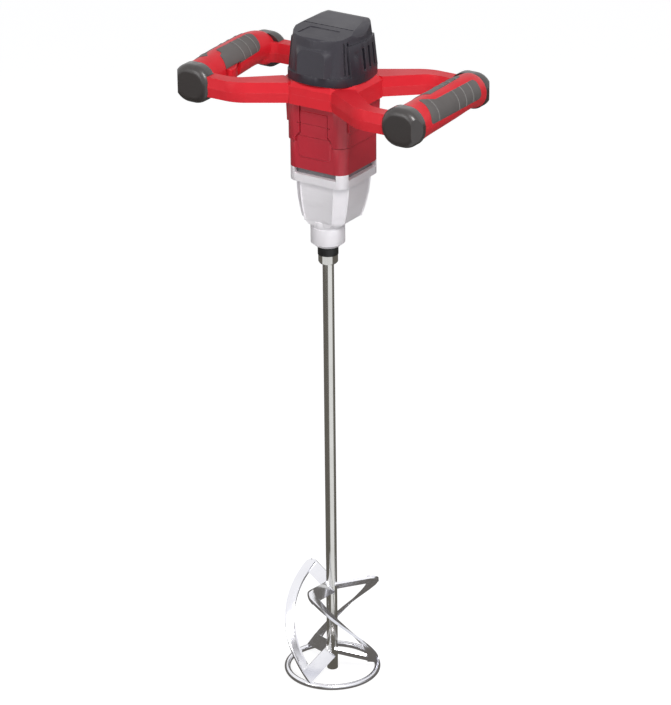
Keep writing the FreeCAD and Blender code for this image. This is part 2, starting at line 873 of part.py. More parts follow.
def cheeks(grow):
    """The two proud upper sides, with a window between them at the front and the back."""
    bottom = frame_bottom - cheek_height - grow
    band = square_prism(housing_half + cheek_proud, housing_corner_radius + cheek_proud, bottom, frame_bottom)
    top = frame_bottom + cut_overrun
    jog_bottom = bottom + cheek_jog_height
    jog_top = jog_bottom + cheek_jog_rise
    foot_half = cheek_window_foot_half - grow
    half = cheek_window_half - grow
    right = [(foot_half, bottom - cut_overrun), (foot_half, jog_bottom), (half, jog_top), (half, top)]
    points = right + [(-x, z) for x, z in reversed(right)]
    reach = housing_half + cheek_proud + cut_overrun
    window = front_prism(points, [0] * len(points), -reach, reach)
    return band.cut(window)


def cheek_groove():
    """The narrow line round the foot and the inner edges of the proud sides."""
    depth = cheek_groove_depth
    core = square_prism(housing_half - depth, housing_corner_radius - depth, housing_bottom, frame_bottom)
    return cheeks(cheek_groove_width).cut(cheeks(0)).cut(core)


def front_panel():
    """The raised panel with sloping edges on the front wall."""
    bottom = housing_bottom + panel_lift
    top = bottom + panel_height
    points = [(panel_half_width, bottom), (panel_half_width, top),
              (-panel_half_width, top), (-panel_half_width, bottom)]
    return front_relief(points, [panel_radius] * len(points), panel_slope,
                        -housing_half - panel_proud, -housing_half + panel_proud)


def panel_lines():
    """Cutters for the lines across the front panel."""
    face = -housing_half - panel_proud
    lines = []
    for lift in panel_line_lifts:
        bottom = housing_bottom + lift
        lines.append(block((-panel_half_width, face - cut_overrun, bottom),
                           (panel_half_width, face + panel_line_depth, bottom + panel_line_width)))
    return lines


def side_block():
    """The proud block on the right side under the hub, leaning in towards its foot."""
    foot = frame_bottom - side_block_height
    points = [(housing_half, foot), (side_block_foot_half, foot), (side_block_top_half, frame_bottom),
              (housing_half, frame_bottom)]
    return front_prism(points, [0] * len(points), -side_block_half_width, side_block_half_width)


def side_groove():
    """The dark line in front of the right side block."""
    skin = housing_half + cheek_proud
    return block((skin - side_groove_depth, -side_block_half_width - side_groove_width,
                  frame_bottom - side_block_height),
                 (skin + cut_overrun, -side_block_half_width, frame_bottom + cut_overrun))


def motor_housing():
    shell = square_prism(housing_half, housing_corner_radius, housing_bottom, frame_bottom)
    neck = square_prism(housing_neck_half, housing_neck_radius, frame_bottom, housing_neck_top)
    panels = [front_panel(), mirrored_y(front_panel())]
    outer = joined([shell, cheeks(0), neck, side_block(), mirrored_x(side_block())] + panels)
    cavity_half = housing_half - housing_wall
    cavity = square_prism(cavity_half, housing_corner_radius - housing_wall,
                          housing_bottom + housing_floor, frame_bottom - housing_wall)
    corner_posts = [rod(gearbox_bolt_head_diameter + housing_wall, housing_bottom,
                        flange_bottom + gearbox_bolt_length + housing_wall, bolt_point(q)) for q in quadrants]
    cavity = cavity.cut(corner_posts)
    neck_cavity = square_prism(housing_neck_half - housing_wall, housing_neck_radius - housing_wall,
                               frame_bottom - housing_wall - cut_overrun, housing_neck_top + cut_overrun)
    boss_diameter = armature_bearing_diameter + 2 * bearing_boss_wall
    boss = rod(boss_diameter, top_bearing_bottom, housing_neck_top, motor_axis)
    bridge = block((-housing_neck_half, -bridge_width / 2, top_bearing_bottom),
                   (housing_neck_half, bridge_width / 2, housing_neck_top))
    neck_cavity = neck_cavity.cut(boss).cut(bridge)
    seat = rod(armature_bearing_diameter, top_bearing_bottom - cut_overrun,
               top_bearing_bottom + armature_bearing_height, motor_axis)
    floor_hole = rod(housing_floor_opening, housing_bottom - cut_overrun,
                     housing_bottom + housing_floor + cut_overrun, motor_axis)
    bolt_holes = [rod(gearbox_bolt_diameter + 2 * running_gap, housing_bottom - cut_overrun,
                      flange_bottom + gearbox_bolt_length + seat_gap, bolt_point(q)) for q in quadrants]
    cuts = [cavity, neck_cavity, seat, floor_hole, side_groove(), mirrored_x(side_groove())]
    lines = panel_lines()
    cuts += bolt_holes + lines + [mirrored_y(line) for line in lines] + [cheek_groove()]
    return outer.cut(cuts)


# Motor


def armature_shaft():
    shaft_top = top_bearing_bottom + armature_bearing_height - seat_gap
    return rod(armature_shaft_diameter, stage_one_top, shaft_top,
               motor_axis)


def armature_bearing(bottom):
    return tube(armature_bearing_diameter - 2 * press_gap, armature_shaft_diameter + 2 * running_gap, bottom,
                bottom + armature_bearing_height, motor_axis)


def on_shaft(diameter, bottom, top):
    return tube(diameter, armature_shaft_diameter + 2 * press_gap, bottom, top, motor_axis)


def armature_windings():
    lower = on_shaft(winding_diameter, core_bottom - winding_height, core_bottom)
    upper = on_shaft(winding_diameter, core_top, core_top + winding_height)
    return group([lower, upper])


def cooling_fan():
    bottom = housing_bottom + fan_lift
    hub = on_shaft(fan_hub_diameter, bottom, bottom + fan_height)
    disc = on_shaft(fan_diameter, bottom, bottom + fan_disc_height)
    blades = []
    for i in range(fan_blade_count):
        blade = block((fan_hub_diameter / 3, -fan_blade_thickness / 2, bottom),
                      (fan_diameter / 2 - fan_blade_thickness, fan_blade_thickness / 2, bottom + fan_height))
        blade.rotate(origin, up, i * full_turn / fan_blade_count)
        blades.append(blade)
    return joined([hub, disc] + blades)


def sector(outer, inner, bottom, top, start, sweep):
    """Part of an upright ring on the motor axis."""
    pie = Part.makeCylinder(outer / 2, top - bottom, at_height(motor_axis, bottom), up, sweep)
    pie.rotate(origin, up, start)
    return pie.cut(rod(inner, bottom - cut_overrun, top + cut_overrun, motor_axis))


def stator_outer():
    return 2 * (housing_half - housing_wall - seat_gap)


def pole_starts():
    return (-pole_angle / 2, half_turn - pole_angle / 2)


def stator_core():
    bore = armature_core_diameter + 2 * air_gap
    ring = tube(stator_outer(), stator_outer() - 2 * pole_ring_wall, core_bottom, core_top, motor_axis)
    poles = [sector(stator_outer() - pole_ring_wall, bore, core_bottom, core_top, start, pole_angle)
             for start in pole_starts()]
    return joined([ring] + poles)


def field_coils():
    bore = armature_core_diameter + 2 * air_gap
    outer = stator_outer() - 2 * pole_ring_wall - 2 * seat_gap
    gap_angle = 2.0
    sweep = half_turn - pole_angle - 2 * gap_angle
    coils = []
    for start in pole_starts():
        coils.append(sector(outer, bore, core_bottom - coil_overhang, core_top + coil_overhang,
                            start + pole_angle + gap_angle, sweep))
    return group(coils)


def brush_cutter(half_width, half_height, near, far, side):
    low, high = sorted((side * near, side * far))
    return block((low, -half_width, brush_middle - half_height),
                 (high, half_width, brush_middle + half_height))


def brush_near():
    return commutator_diameter / 2 + running_gap


def brush_holders():
    near = brush_near() + brush_holder_wall
    far = housing_neck_half - housing_wall
    boxes = []
    for side in (1, -1):
        case = brush_cutter(brush_width / 2 + brush_holder_wall, brush_height / 2 + brush_holder_wall,
                            near, far, side)
        hole = brush_cutter(brush_width / 2 + running_gap, brush_height / 2 + running_gap,
                            near - cut_overrun, far - brush_holder_wall, side)
        boxes.append(case.cut(hole))
    return group(boxes)


def carbon_brushes():
    near = brush_near()
    return group([brush_cutter(brush_width / 2, brush_height / 2, near, near + brush_length, side)
                  for side in (1, -1)])


# Handle frame


def arm_outline(inset, z):
    """The front right arm in plan, from inside the hub to the bar's axis."""
    web_x = bar_x - arm_web_inset
    points = [(hub_front_half, -hub_depth_half), (arm_outer_elbow, -arm_outer_half), (bar_x, -arm_outer_half),
              (bar_x, -arm_web_half), (web_x, -arm_web_half), (web_x, -arm_inner_half),
              (arm_inner_elbow, -arm_inner_half), (hub_width_half, -hub_side_half),
              (hub_front_half, -hub_side_half)]
    radii = [0, arm_outer_elbow_radius, 0, 0, 0, arm_web_radius, arm_inner_elbow_radius, 0, 0]
    return outline(drawn_in(points, inset), radii, z)


def arm(inset):
    """The front right arm, widest at its middle height and drawn in to the top and bottom."""
    middle = arm_outline(inset, frame_mid)
    foot = arm_outline(inset + arm_draft, frame_bottom + inset)
    head = arm_outline(inset + arm_draft, arm_top - inset)
    return joined([loft([foot, middle]), loft([middle, head])])


def arm_screw_point():
    return FreeCAD.Vector(frame_screw_x, -frame_screw_y, 0)


def hub():
    corner = [(hub_front_half, -hub_depth_half), (hub_width_half, -hub_side_half)]
    points = corner + [(x, -y) for x, y in reversed(corner)]
    points += [(-x, -y) for x, y in points]
    radii = [0] * len(points)
    lower = prism(outline(points, radii, frame_bottom), hub_top - hub_top_chamfer - frame_bottom)
    rim = outline(points, radii, hub_top - hub_top_chamfer)
    crown = loft([rim, outline([(x * (hub_depth_half - hub_top_chamfer) / hub_depth_half,
                                 y * (hub_depth_half - hub_top_chamfer) / hub_depth_half) for x, y in points],
                               radii, hub_top)])
    return joined([lower, crown])


def bar_skin(outset):
    """The right grip bar between its shoulders, pushed out or drawn in by a little."""
    sections = []
    for share, swell, outward, rise in zip(bar_section_shares, bar_swells, bar_outward_bows, bar_upward_bows):
        centre = FreeCAD.Vector(bar_x + outward, share * bar_shoulder_half, frame_mid + rise)
        sections.append(Part.Wire(Part.makeCircle((bar_diameter + swell) / 2 + outset, centre, along_y)))
    return Part.makeLoft(sections, True, False)


def bar_end(diameter, end):
    """A cylinder on the right bar's axis, from just inside its front shoulder to its end."""
    start = bar_end_overlap - bar_shoulder_half
    return Part.makeCylinder(diameter / 2, end + start, FreeCAD.Vector(bar_x, start, frame_mid), -along_y)


def bumper_spigot(diameter):
    return bar_end(diameter - 2 * bumper_wall, bumper_front_half - bumper_floor)


def bar():
    """The right grip bar with the spigots that carry the bumpers."""
    front_spigot = bumper_spigot(front_bumper_diameter)
    rear_spigot = mirrored_y(bumper_spigot(rear_bumper_diameter))
    return joined([bar_skin(0), front_spigot, rear_spigot])


def bar_bore():
    end = bar_end(bar_end_bore_diameter, bumper_front_half - bumper_floor - frame_wall)
    return joined([bar_skin(-bar_wall), end, mirrored_y(end)])


def grip_prism(places, offsets, radii, angle):
    """A prism through one side of the right bar, over an outline of places along it and offsets across it."""
    points = [(-x, y) for x, y in zip(offsets, places)]
    prism_through = prism(outline(points, radii, 0), bar_diameter)
    prism_through.rotate(origin, along_y, half_turn / 2 - angle)
    prism_through.translate(FreeCAD.Vector(bar_x + grip_centre_outward, 0, frame_mid + grip_centre_rise))
    return prism_through


def outer_grip_prism():
    return grip_prism(outer_grip_places, outer_grip_offsets, outer_grip_radii, outer_grip_angle)


def inner_grip_prism():
    return grip_prism(inner_grip_places, inner_grip_offsets, inner_grip_radii, inner_grip_angle)


def grip_panel(chosen, rib_places):
    """A rubber panel let into the bar, with raised ribs across it."""
    panel = bar_skin(grip_proud).common(chosen)
    ribbed = bar_skin(grip_proud + rib_proud).common(chosen)
    reach = bar_x + bar_diameter
    ribs = []
    for place in rib_places:
        ribs.append(ribbed.common(block((0, place - rib_width / 2, frame_bottom - arm_height),
                                        (reach, place + rib_width / 2, hub_top + arm_height))))
    return joined([panel] + ribs).cut(bar_skin(-grip_depth))


def trigger_slot():
    """The opening for the trigger, in the left bar's inner side."""
    half = trigger_height / 2 + trigger_slot_gap
    return block((-bar_x, trigger_nose_y - trigger_slot_front_gap, frame_mid - half),
                 (-bar_x + bar_diameter, trigger_pin_y + trigger_hub_radius + trigger_slot_gap,
                  frame_mid + half))


def trigger_pin_point():
    return FreeCAD.Vector(-bar_x + trigger_pin_inset, trigger_pin_y, 0)


def trigger_pin():
    middle = frame_mid + trigger_pin_lift
    return rod(trigger_pin_diameter, middle - trigger_pin_length / 2, middle + trigger_pin_length / 2,
               trigger_pin_point())


def cover_screw_points():
    return [FreeCAD.Vector(side * cover_screw_x, depth * cover_screw_y, 0) for side, depth in quadrants]


def frame_screw_points():
    return [FreeCAD.Vector(side * frame_screw_x, depth * frame_screw_y, 0) for side, depth in quadrants]


def cover_screw_top():
    return frame_bottom + frame_screw_sink + cover_screw_length


def frame_screw_top():
    return arm_top - frame_wall


def screw_hole(point, top):
    """A clearance hole with a sunk seat for the head, from below the frame."""
    shank = rod(frame_screw_diameter + 2 * running_gap, frame_bottom - cut_overrun, top, point)
    sink = rod(frame_screw_head_diameter + 2 * seat_gap, frame_bottom - cut_overrun,
               frame_bottom + frame_screw_sink, point)
    return joined([shank, sink])


def screws(points, top):
    pieces = []
    for point in points:
        seat = frame_bottom + frame_screw_sink
        head = rod(frame_screw_head_diameter, seat - frame_screw_head_height, seat, point)
        pieces.append(joined([head, rod(frame_screw_diameter, seat, top, point)]))
    return group(pieces)


def whole_frame():
    """Both halves of the handle frame in one, before they part at the middle height."""
    arms = [placed(arm(0), q) for q in quadrants]
    outer = joined([hub(), bar(), mirrored_x(bar())] + arms)
    boss = rod(frame_boss_diameter + frame_wall, frame_bottom, arm_top, arm_screw_point())
    channels = [placed(arm(frame_wall).cut(boss), q) for q in quadrants]
    opening = square_prism(housing_neck_half + seat_gap, housing_neck_radius + seat_gap,
                           frame_bottom - cut_overrun, hub_top + cut_overrun)
    holes = [screw_hole(point, hub_top + cut_overrun) for point in cover_screw_points()]
    holes += [screw_hole(point, frame_screw_top()) for point in frame_screw_points()]
    pockets = []
    for chosen in (outer_grip_prism(), inner_grip_prism()):
        pocket = chosen.cut(bar_skin(-grip_depth))
        pockets += [pocket, mirrored_x(pocket)]
    cuts = channels + [opening, bar_bore(), mirrored_x(bar_bore()), trigger_slot(), trigger_pin()]
    cuts += [gland_seat(), cable_way()] + holes + pockets
    return outer.cut(cuts)


def frame_half(whole, upper):
    reach = bar_x + bar_diameter
    low, high = (frame_mid, hub_top + arm_height) if upper else (frame_bottom - arm_height, frame_mid)
    return whole.common(block((-reach, -reach, low), (reach, reach, high)))


def bumper(diameter):
    """The front right bumper: a thick cap over the bar's spigot, slanted outboard and notched for the arm."""
    half = diameter / 2
    back = bar_shoulder_half + seat_gap
    inner, outer = bar_x - bumper_inner_reach, bar_x + half
    corners = [(inner, frame_mid - half), (outer, frame_mid - half), (outer, frame_mid + half),
               (inner, frame_mid + half)]
    cap = front_prism(corners, [half * bumper_corner_share] * len(corners), -bumper_front_half, -back)
    rim = [edge for edge in cap.Edges if edge.BoundBox.YMax < -bumper_front_half + press_gap]
    cap = cap.makeFillet(bumper_edge_radius, rim)
    crease = bar_x + bumper_crease
    slant = [(crease, -bumper_front_half - cut_overrun), (crease, -bumper_front_half),
             (outer, bumper_slant_depth - bumper_front_half),
             (outer + bumper_slant_depth, -bumper_front_half)]
    slant_cut = prism(outline(slant, [0] * len(slant), frame_mid - diameter), 2 * diameter)
    notch = arm(-seat_gap)
    return cap.cut([slant_cut, bumper_spigot(diameter), notch])


def gland_span(diameter, start, length):
    """A cylinder on the left bar's axis, towards the rear."""
    return Part.makeCylinder(diameter / 2, length, FreeCAD.Vector(-bar_x, start, frame_mid), along_y)


def gland_start():
    return bumper_front_half - bumper_floor


def gland_seat():
    return gland_span(gland_diameter + 2 * press_gap, gland_start(), bumper_floor + cut_overrun)


def cable_way():
    """The cable's hole through the gland and the end of the bar."""
    start = gland_start() - frame_wall - cut_overrun
    return gland_span(gland_bore_diameter, start, bumper_front_half - start + cut_overrun)


def cable_gland():
    return gland_span(gland_diameter, gland_start(), bumper_floor).cut(cable_way())


# Trigger and switch


def trigger():
    nose_back = trigger_nose_reach - trigger_thickness
    points = [(trigger_tail_reach - trigger_hub_radius, trigger_pin_y + trigger_hub_radius),
              (trigger_tail_reach, trigger_pin_y),
              (trigger_nose_reach, trigger_nose_y + trigger_thickness),
              (trigger_nose_reach, trigger_nose_y),
              (nose_back, trigger_nose_y),
              (trigger_pin_inset - trigger_hub_radius, trigger_pin_y - trigger_hub_radius),
              (trigger_pin_inset - trigger_hub_radius, trigger_pin_y + trigger_hub_radius)]
    radii = [0, trigger_hub_radius, trigger_nose_radius, trigger_nose_radius, trigger_hub_radius, 0,
             trigger_hub_radius]
    places = [(x - bar_x, y) for x, y in points]
    lever = prism(outline(places, radii, frame_mid - trigger_height / 2), trigger_height)
    rod_start = FreeCAD.Vector(-bar_x + nose_back - push_rod_length, push_rod_y, frame_mid)
    push_rod = Part.makeCylinder(push_rod_diameter / 2, push_rod_length, rod_start, along_x)
    pin_hole = rod(trigger_pin_diameter + 2 * running_gap, frame_mid - trigger_pin_length,
                   frame_mid + trigger_pin_length, trigger_pin_point())
    return joined([lever, push_rod]).cut(pin_hole)


def switch_module():
    low_x = -bar_x - switch_back
    case = block((low_x, switch_front_y, frame_mid - switch_height / 2),
                 (low_x + switch_width, switch_front_y + switch_length, frame_mid + switch_height / 2))
    round_bar = mirrored_x(bar_skin(-bar_wall - press_gap))
    pocket_x = low_x + switch_width - push_rod_length - 2 * switch_pocket_gap
    pocket_start = FreeCAD.Vector(pocket_x, push_rod_y, frame_mid)
    pocket = Part.makeCylinder(push_rod_diameter / 2 + switch_pocket_gap, switch_width, pocket_start, along_x)
    return case.common(round_bar).cut(pocket)


# Cover


def cover_outline(inset, z):
    """The cover's plan outline, bowed sides that run into round corners, drawn in by an inset."""
    set_back = cover_side_radius - cover_skirt_half
    between = cover_side_radius - cover_corner_radius
    corner = (math.sqrt(2 * between**2 - set_back**2) - set_back) / 2
    side_radius = cover_side_radius - inset
    near = side_radius * corner / between
    far = side_radius * (corner + set_back) / between - set_back
    diagonal = corner + (cover_corner_radius - inset) / math.sqrt(2)
    quarter = [(far, -near), (cover_skirt_half - inset, 0), (far, near), (diagonal, diagonal), (near, far)]
    edges = []
    for _ in quadrants:
        start, middle, end, round_corner, following = [FreeCAD.Vector(x, y, z) for x, y in quarter]
        edges.append(Part.Arc(start, middle, end).toShape())
        edges.append(Part.Arc(end, round_corner, following).toShape())
        quarter = [(-y, x) for x, y in quarter]
    return Part.Wire(edges)


def cover_body(inset):
    """Skirt, tapering walls and hipped roof, drawn in by a wall where it is the cavity."""
    skirt = prism(cover_outline(inset, hub_top), cover_skirt_height)
    walls = loft([cover_outline(cover_step + inset, cover_wall_bottom),
                  cover_outline(cover_skirt_half - cover_top_half + inset, cover_wall_top)])
    return skirt, walls, cover_roof(inset)


def cover_roof(inset):
    """The roof: tapering sides under a round shouldered profile that slopes to the front."""
    reach = cover_top_half + cut_overrun
    bottom = cover_wall_top - inset
    sides = loft([cover_outline(cover_skirt_half - cover_top_half + inset, cover_wall_top),
                  cover_outline(cover_skirt_half - cover_rim_half + inset, cover_top)])
    right = [(cover_top_half, bottom - cut_overrun), (cover_top_half, bottom + roof_side_rise),
             (roof_shoulder_half, bottom + roof_shoulder_rise), (roof_flat_half, bottom + cover_roof_height)]
    across = right + [(-x, z) for x, z in reversed(right)]
    right_radii = [0, 0, roof_shoulder_radius, roof_flat_radius]
    across_radii = right_radii + right_radii[::-1]
    along = [(-cover_top_half, bottom - cut_overrun), (-cover_top_half, bottom + roof_front_rise),
             (roof_break_y, bottom + roof_break_rise), (roof_back_y, bottom + cover_roof_height),
             (cover_top_half, bottom + roof_back_rise), (cover_top_half, bottom - cut_overrun)]
    along_radii = [0, roof_front_radius, 0, roof_back_radius, roof_rear_radius, 0]
    profile = front_prism(along, along_radii, -reach, reach)
    profile.rotate(origin, up, half_turn / 2)
    return sides.common(front_prism(across, across_radii, -reach, reach)).common(profile)


def cover_proud(proud, chosen):
    """The cover's walls pushed out by a little, kept inside a chosen prism."""
    return cover_body(-proud)[1].common(chosen)


def cover_front_panel():
    """The flat raised panel with sloping edges on the cover's front wall, square to the wall's lean."""
    foot_half = cover_skirt_half - cover_step
    bow = cover_side_radius - math.sqrt(cover_side_radius**2 - cover_panel_half**2)
    bottom = cover_wall_bottom - cover_panel_slope
    top = cover_wall_bottom + cover_panel_height
    right = [(cover_panel_half, bottom), (cover_panel_half, top)]
    points = right + [(-x, z) for x, z in reversed(right)]
    radii = [0, cover_panel_radius, cover_panel_radius, 0]
    panel = front_relief(points, radii, cover_panel_slope, -foot_half - cover_panel_proud,
                         -foot_half + bow + cover_panel_proud)
    lean = math.atan2(foot_half - cover_top_half, cover_wall_height)
    panel.rotate(FreeCAD.Vector(0, -foot_half, cover_wall_bottom), along_x, -math.degrees(lean))
    low = (-cover_panel_half, -cover_skirt_half, cover_wall_bottom)
    return panel.common(block(low, (cover_panel_half, 0, cover_wall_top)))


def cover_vent_block():
    chosen = block((cover_core_half, vent_block_front, cover_wall_bottom),
                   (cover_skirt_half + cut_overrun, vent_block_back, cover_wall_bottom + vent_block_height))
    return cover_proud(vent_block_proud, chosen)


def vent_slots():
    slots = []
    bottom = cover_wall_bottom + vent_slot_lift
    for i in range(vent_slot_count):
        middle = vent_slot_first + i * vent_slot_pitch
        low = (cover_core_half, middle - vent_slot_width / 2, bottom)
        high = (cover_skirt_half + cut_overrun, middle + vent_slot_width / 2, bottom + vent_slot_height)
        slots.append(block(low, high))
    return slots


def flute_cutters(skin):
    """Upright flutes near each corner, as deep as the skin."""
    cutters = []
    reach = 2 * cover_skirt_half
    for angle in flute_angles:
        plate = block((0, -flute_width / 2, cover_wall_bottom + flute_lift),
                      (reach, flute_width / 2, cover_top + cut_overrun))
        plate.rotate(origin, up, -angle)
        cutter = plate.common(skin)
        cutters += [placed(cutter, q) for q in quadrants]
    return cutters


def roof_cutters(skin):
    """The groove across the roof and the recess in its front slope."""
    groove = block((-roof_groove_half, roof_break_y - roof_groove_width / 2, cover_wall_top),
                   (roof_groove_half, roof_break_y + roof_groove_width / 2, cover_top + cut_overrun))
    points = [(roof_recess_front_half, roof_recess_front), (roof_recess_back_half, roof_recess_back),
              (-roof_recess_back_half, roof_recess_back), (-roof_recess_front_half, roof_recess_front)]
    recess = prism(outline(points, [0] * len(points), cover_wall_top), cover_roof_height)
    return [groove.common(skin), recess.common(skin)]


def cover_bosses():
    bosses = []
    for point in cover_screw_points():
        bosses.append(rod(cover_boss_diameter, hub_top, hub_top + cover_boss_height, point))
    return bosses


def motor_cover():
    blocks = [cover_vent_block(), mirrored_x(cover_vent_block())]
    outer = joined(list(cover_body(0)) + [cover_front_panel()] + blocks)
    skirt, walls, roof = cover_body(cover_wall)
    mouth = prism(cover_outline(cover_wall, hub_top - cut_overrun), cut_overrun)
    cavity = joined([skirt, walls, roof, mouth]).cut(cover_bosses())
    plain_walls, plain_roof = cover_body(0)[1:]
    wall_skin = plain_walls.cut(cover_body(flute_depth)[1])
    roof_skin = plain_roof.cut(cover_body(roof_groove_depth)[2])
    slots = vent_slots()
    slots += [mirrored_x(slot) for slot in slots]
    dimple_start = FreeCAD.Vector(cover_core_half, dimple_y, cover_wall_bottom + dimple_lift)
    dimple = Part.makeCylinder(dimple_diameter / 2, cover_skirt_half, dimple_start, along_x)
    block_walls = cover_body(-vent_block_proud)[1]
    dimple = dimple.common(block_walls.cut(cover_body(dimple_depth - vent_block_proud)[1]))
    pilot_top = cover_screw_top() + seat_gap
    pilot_holes = [rod(frame_screw_diameter + 2 * running_gap, hub_top - cut_overrun, pilot_top, point)
                   for point in cover_screw_points()]
    cuts = [cavity, dimple, mirrored_x(dimple)] + slots + pilot_holes
    cuts += flute_cutters(wall_skin) + roof_cutters(roof_skin)
    return outer.cut(cuts)


def all_pieces():
    """Every sub-part by name."""
    pieces = {"paddle_ring": paddle_ring(), "paddle_shaft": paddle_shaft(), "paddle_hex": paddle_hex()}
    for i in range(blade_count):
        pieces[f"paddle_blade_{i + 1}"] = paddle_blade(i)
    pieces["output_spindle"] = output_spindle()
    pieces["spindle_collar"] = spindle_collar()
    pieces["circlip"] = circlip()
    pieces["gear_key"] = key_block()
    pieces["output_gear"] = output_gear()
    pieces["lower_spindle_bearing"] = spindle_bearing(lower_bearing_bottom)
    pieces["upper_spindle_bearing"] = spindle_bearing(upper_bearing_bottom)
    pieces["oil_seal"] = oil_seal()
    pieces["gearbox_housing"] = gearbox_housing()
    pieces["gearbox_bolts"] = gearbox_bolts()
    pieces["intermediate_shaft"] = intermediate_shaft()
    pieces["intermediate_gear"] = intermediate_gear()
    pieces["intermediate_pinion"] = intermediate_pinion()
    pieces["intermediate_bearings"] = intermediate_bearings()
    pieces["bearing_plate"] = bearing_plate()
    pieces["motor_housing"] = motor_housing()
    pieces["motor_pinion"] = motor_pinion()
    pieces["armature_shaft"] = armature_shaft()
    pieces["armature_core"] = on_shaft(armature_core_diameter, core_bottom, core_top)
    pieces["armature_windings"] = armature_windings()
    commutator_top = commutator_bottom + commutator_height
    pieces["commutator"] = on_shaft(commutator_diameter, commutator_bottom, commutator_top)
    pieces["cooling_fan"] = cooling_fan()
    pieces["lower_armature_bearing"] = armature_bearing(flange_top)
    pieces["upper_armature_bearing"] = armature_bearing(top_bearing_bottom)
    pieces["stator_core"] = stator_core()
    pieces["field_coils"] = field_coils()
    pieces["brush_holders"] = brush_holders()
    pieces["carbon_brushes"] = carbon_brushes()
    whole = whole_frame()
    pieces["frame_upper"] = frame_half(whole, True)
    pieces["frame_lower"] = frame_half(whole, False)
    pieces["frame_screws"] = screws(frame_screw_points(), frame_screw_top())
    outer_panel = grip_panel(outer_grip_prism(), outer_rib_places)
    inner_panel = grip_panel(inner_grip_prism(), inner_rib_places)
    pieces["right_outer_grip"] = outer_panel
    pieces["right_inner_grip"] = inner_panel
    pieces["left_outer_grip"] = mirrored_x(outer_panel)
    pieces["left_inner_grip"] = mirrored_x(inner_panel).cut(trigger_slot())
    front_bumper, rear_bumper = bumper(front_bumper_diameter), mirrored_y(bumper(rear_bumper_diameter))
    pieces["front_right_bumper"] = front_bumper
    pieces["rear_right_bumper"] = rear_bumper
    pieces["front_left_bumper"] = mirrored_x(front_bumper)
    pieces["rear_left_bumper"] = mirrored_x(rear_bumper).cut(gland_seat())
    pieces["cable_gland"] = cable_gland()
    pieces["trigger"] = trigger()
    pieces["trigger_pin"] = trigger_pin()
    pieces["switch_module"] = switch_module()
    pieces["motor_cover"] = motor_cover()
    pieces["cover_screws"] = screws(cover_screw_points(), cover_screw_top())
    return pieces


os.makedirs("parts", exist_ok=True)
for node, shape in all_pieces().items():
    solids = len(shape.Solids)
    print(f"{node}: {solids} solids, {shape.Volume / 1000:.2f} cm3, valid {shape.isValid()}")
    shape.exportStep(f"parts/{node}.step")
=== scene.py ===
import bpy
import json
import math
from mathutils import Matrix, Vector


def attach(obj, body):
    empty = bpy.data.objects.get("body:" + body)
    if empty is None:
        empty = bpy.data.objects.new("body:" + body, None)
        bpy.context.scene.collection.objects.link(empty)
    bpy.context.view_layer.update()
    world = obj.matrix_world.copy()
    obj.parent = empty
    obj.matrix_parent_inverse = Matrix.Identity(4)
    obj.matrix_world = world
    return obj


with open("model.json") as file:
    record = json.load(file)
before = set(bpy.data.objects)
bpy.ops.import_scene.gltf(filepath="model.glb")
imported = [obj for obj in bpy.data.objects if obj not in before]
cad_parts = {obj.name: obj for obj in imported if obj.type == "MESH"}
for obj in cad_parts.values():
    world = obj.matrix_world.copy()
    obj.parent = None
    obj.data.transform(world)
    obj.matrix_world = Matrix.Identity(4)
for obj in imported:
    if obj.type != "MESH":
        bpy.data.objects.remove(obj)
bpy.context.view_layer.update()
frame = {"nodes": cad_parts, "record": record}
nodes = frame["nodes"]
millimetre = 0.001


# Small helpers for shader nodes


def feed(tree, socket, value):
    """Links a value that is a socket, and sets any other."""
    if isinstance(value, bpy.types.NodeSocket):
        tree.links.new(value, socket)
    else:
        socket.default_value = value


def add(tree, kind, settings=None, **values):
    """A node with some of its settings and inputs set. An input goes by its name, or by i and its number."""
    node = tree.nodes.new(kind)
    for name, value in (settings or {}).items():
        setattr(node, name, value)
    for name, value in values.items():
        numbered = name[0] == "i" and name[1:].isdigit()
        key = int(name[1:]) if numbered else name.replace("_", " ")
        feed(tree, node.inputs[key], value)
    return node


def math_node(tree, operation, first, second=0.0, clamp=False):
    node = add(tree, "ShaderNodeMath", {"operation": operation, "use_clamp": clamp}, i0=first, i1=second)
    return node.outputs[0]


def spread(tree, value, low, high, to_low=0.0, to_high=1.0):
    """A value taken from one range to another, smoothly and without overshoot."""
    node = add(tree, "ShaderNodeMapRange", {"interpolation_type": "SMOOTHSTEP"}, Value=value,
               From_Min=low, From_Max=high, To_Min=to_low, To_Max=to_high)
    return node.outputs[0]


def noise(tree, place, scale, detail=3.0, roughness=0.55):
    node = add(tree, "ShaderNodeTexNoise", Vector=place, Scale=scale, Detail=detail, Roughness=roughness)
    return node.outputs["Fac"]


def object_place(tree):
    return tree.nodes.new("ShaderNodeTexCoord").outputs["Object"]


def surface_normal(tree):
    return tree.nodes.new("ShaderNodeNewGeometry").outputs["Normal"]


def colour_mix(tree, share, first, second):
    return add(tree, "ShaderNodeMix", {"data_type": "RGBA"}, i0=share, i6=first, i7=second).outputs[2]


def rgb(red, green, blue):
    return (red, green, blue, 1.0)


# Places of the ribs along the grip bars, in millimetres, and the inputs that take them

outer_grip_ribs = (-44.0, 4.0, 22.0, 40.0)
inner_grip_ribs = (6.0, 22.0, 38.0)
rib_inputs = ("First rib", "Second rib", "Third rib", "Fourth rib")
far_off_the_bar = 1.0


# Shader node groups that the finishes share


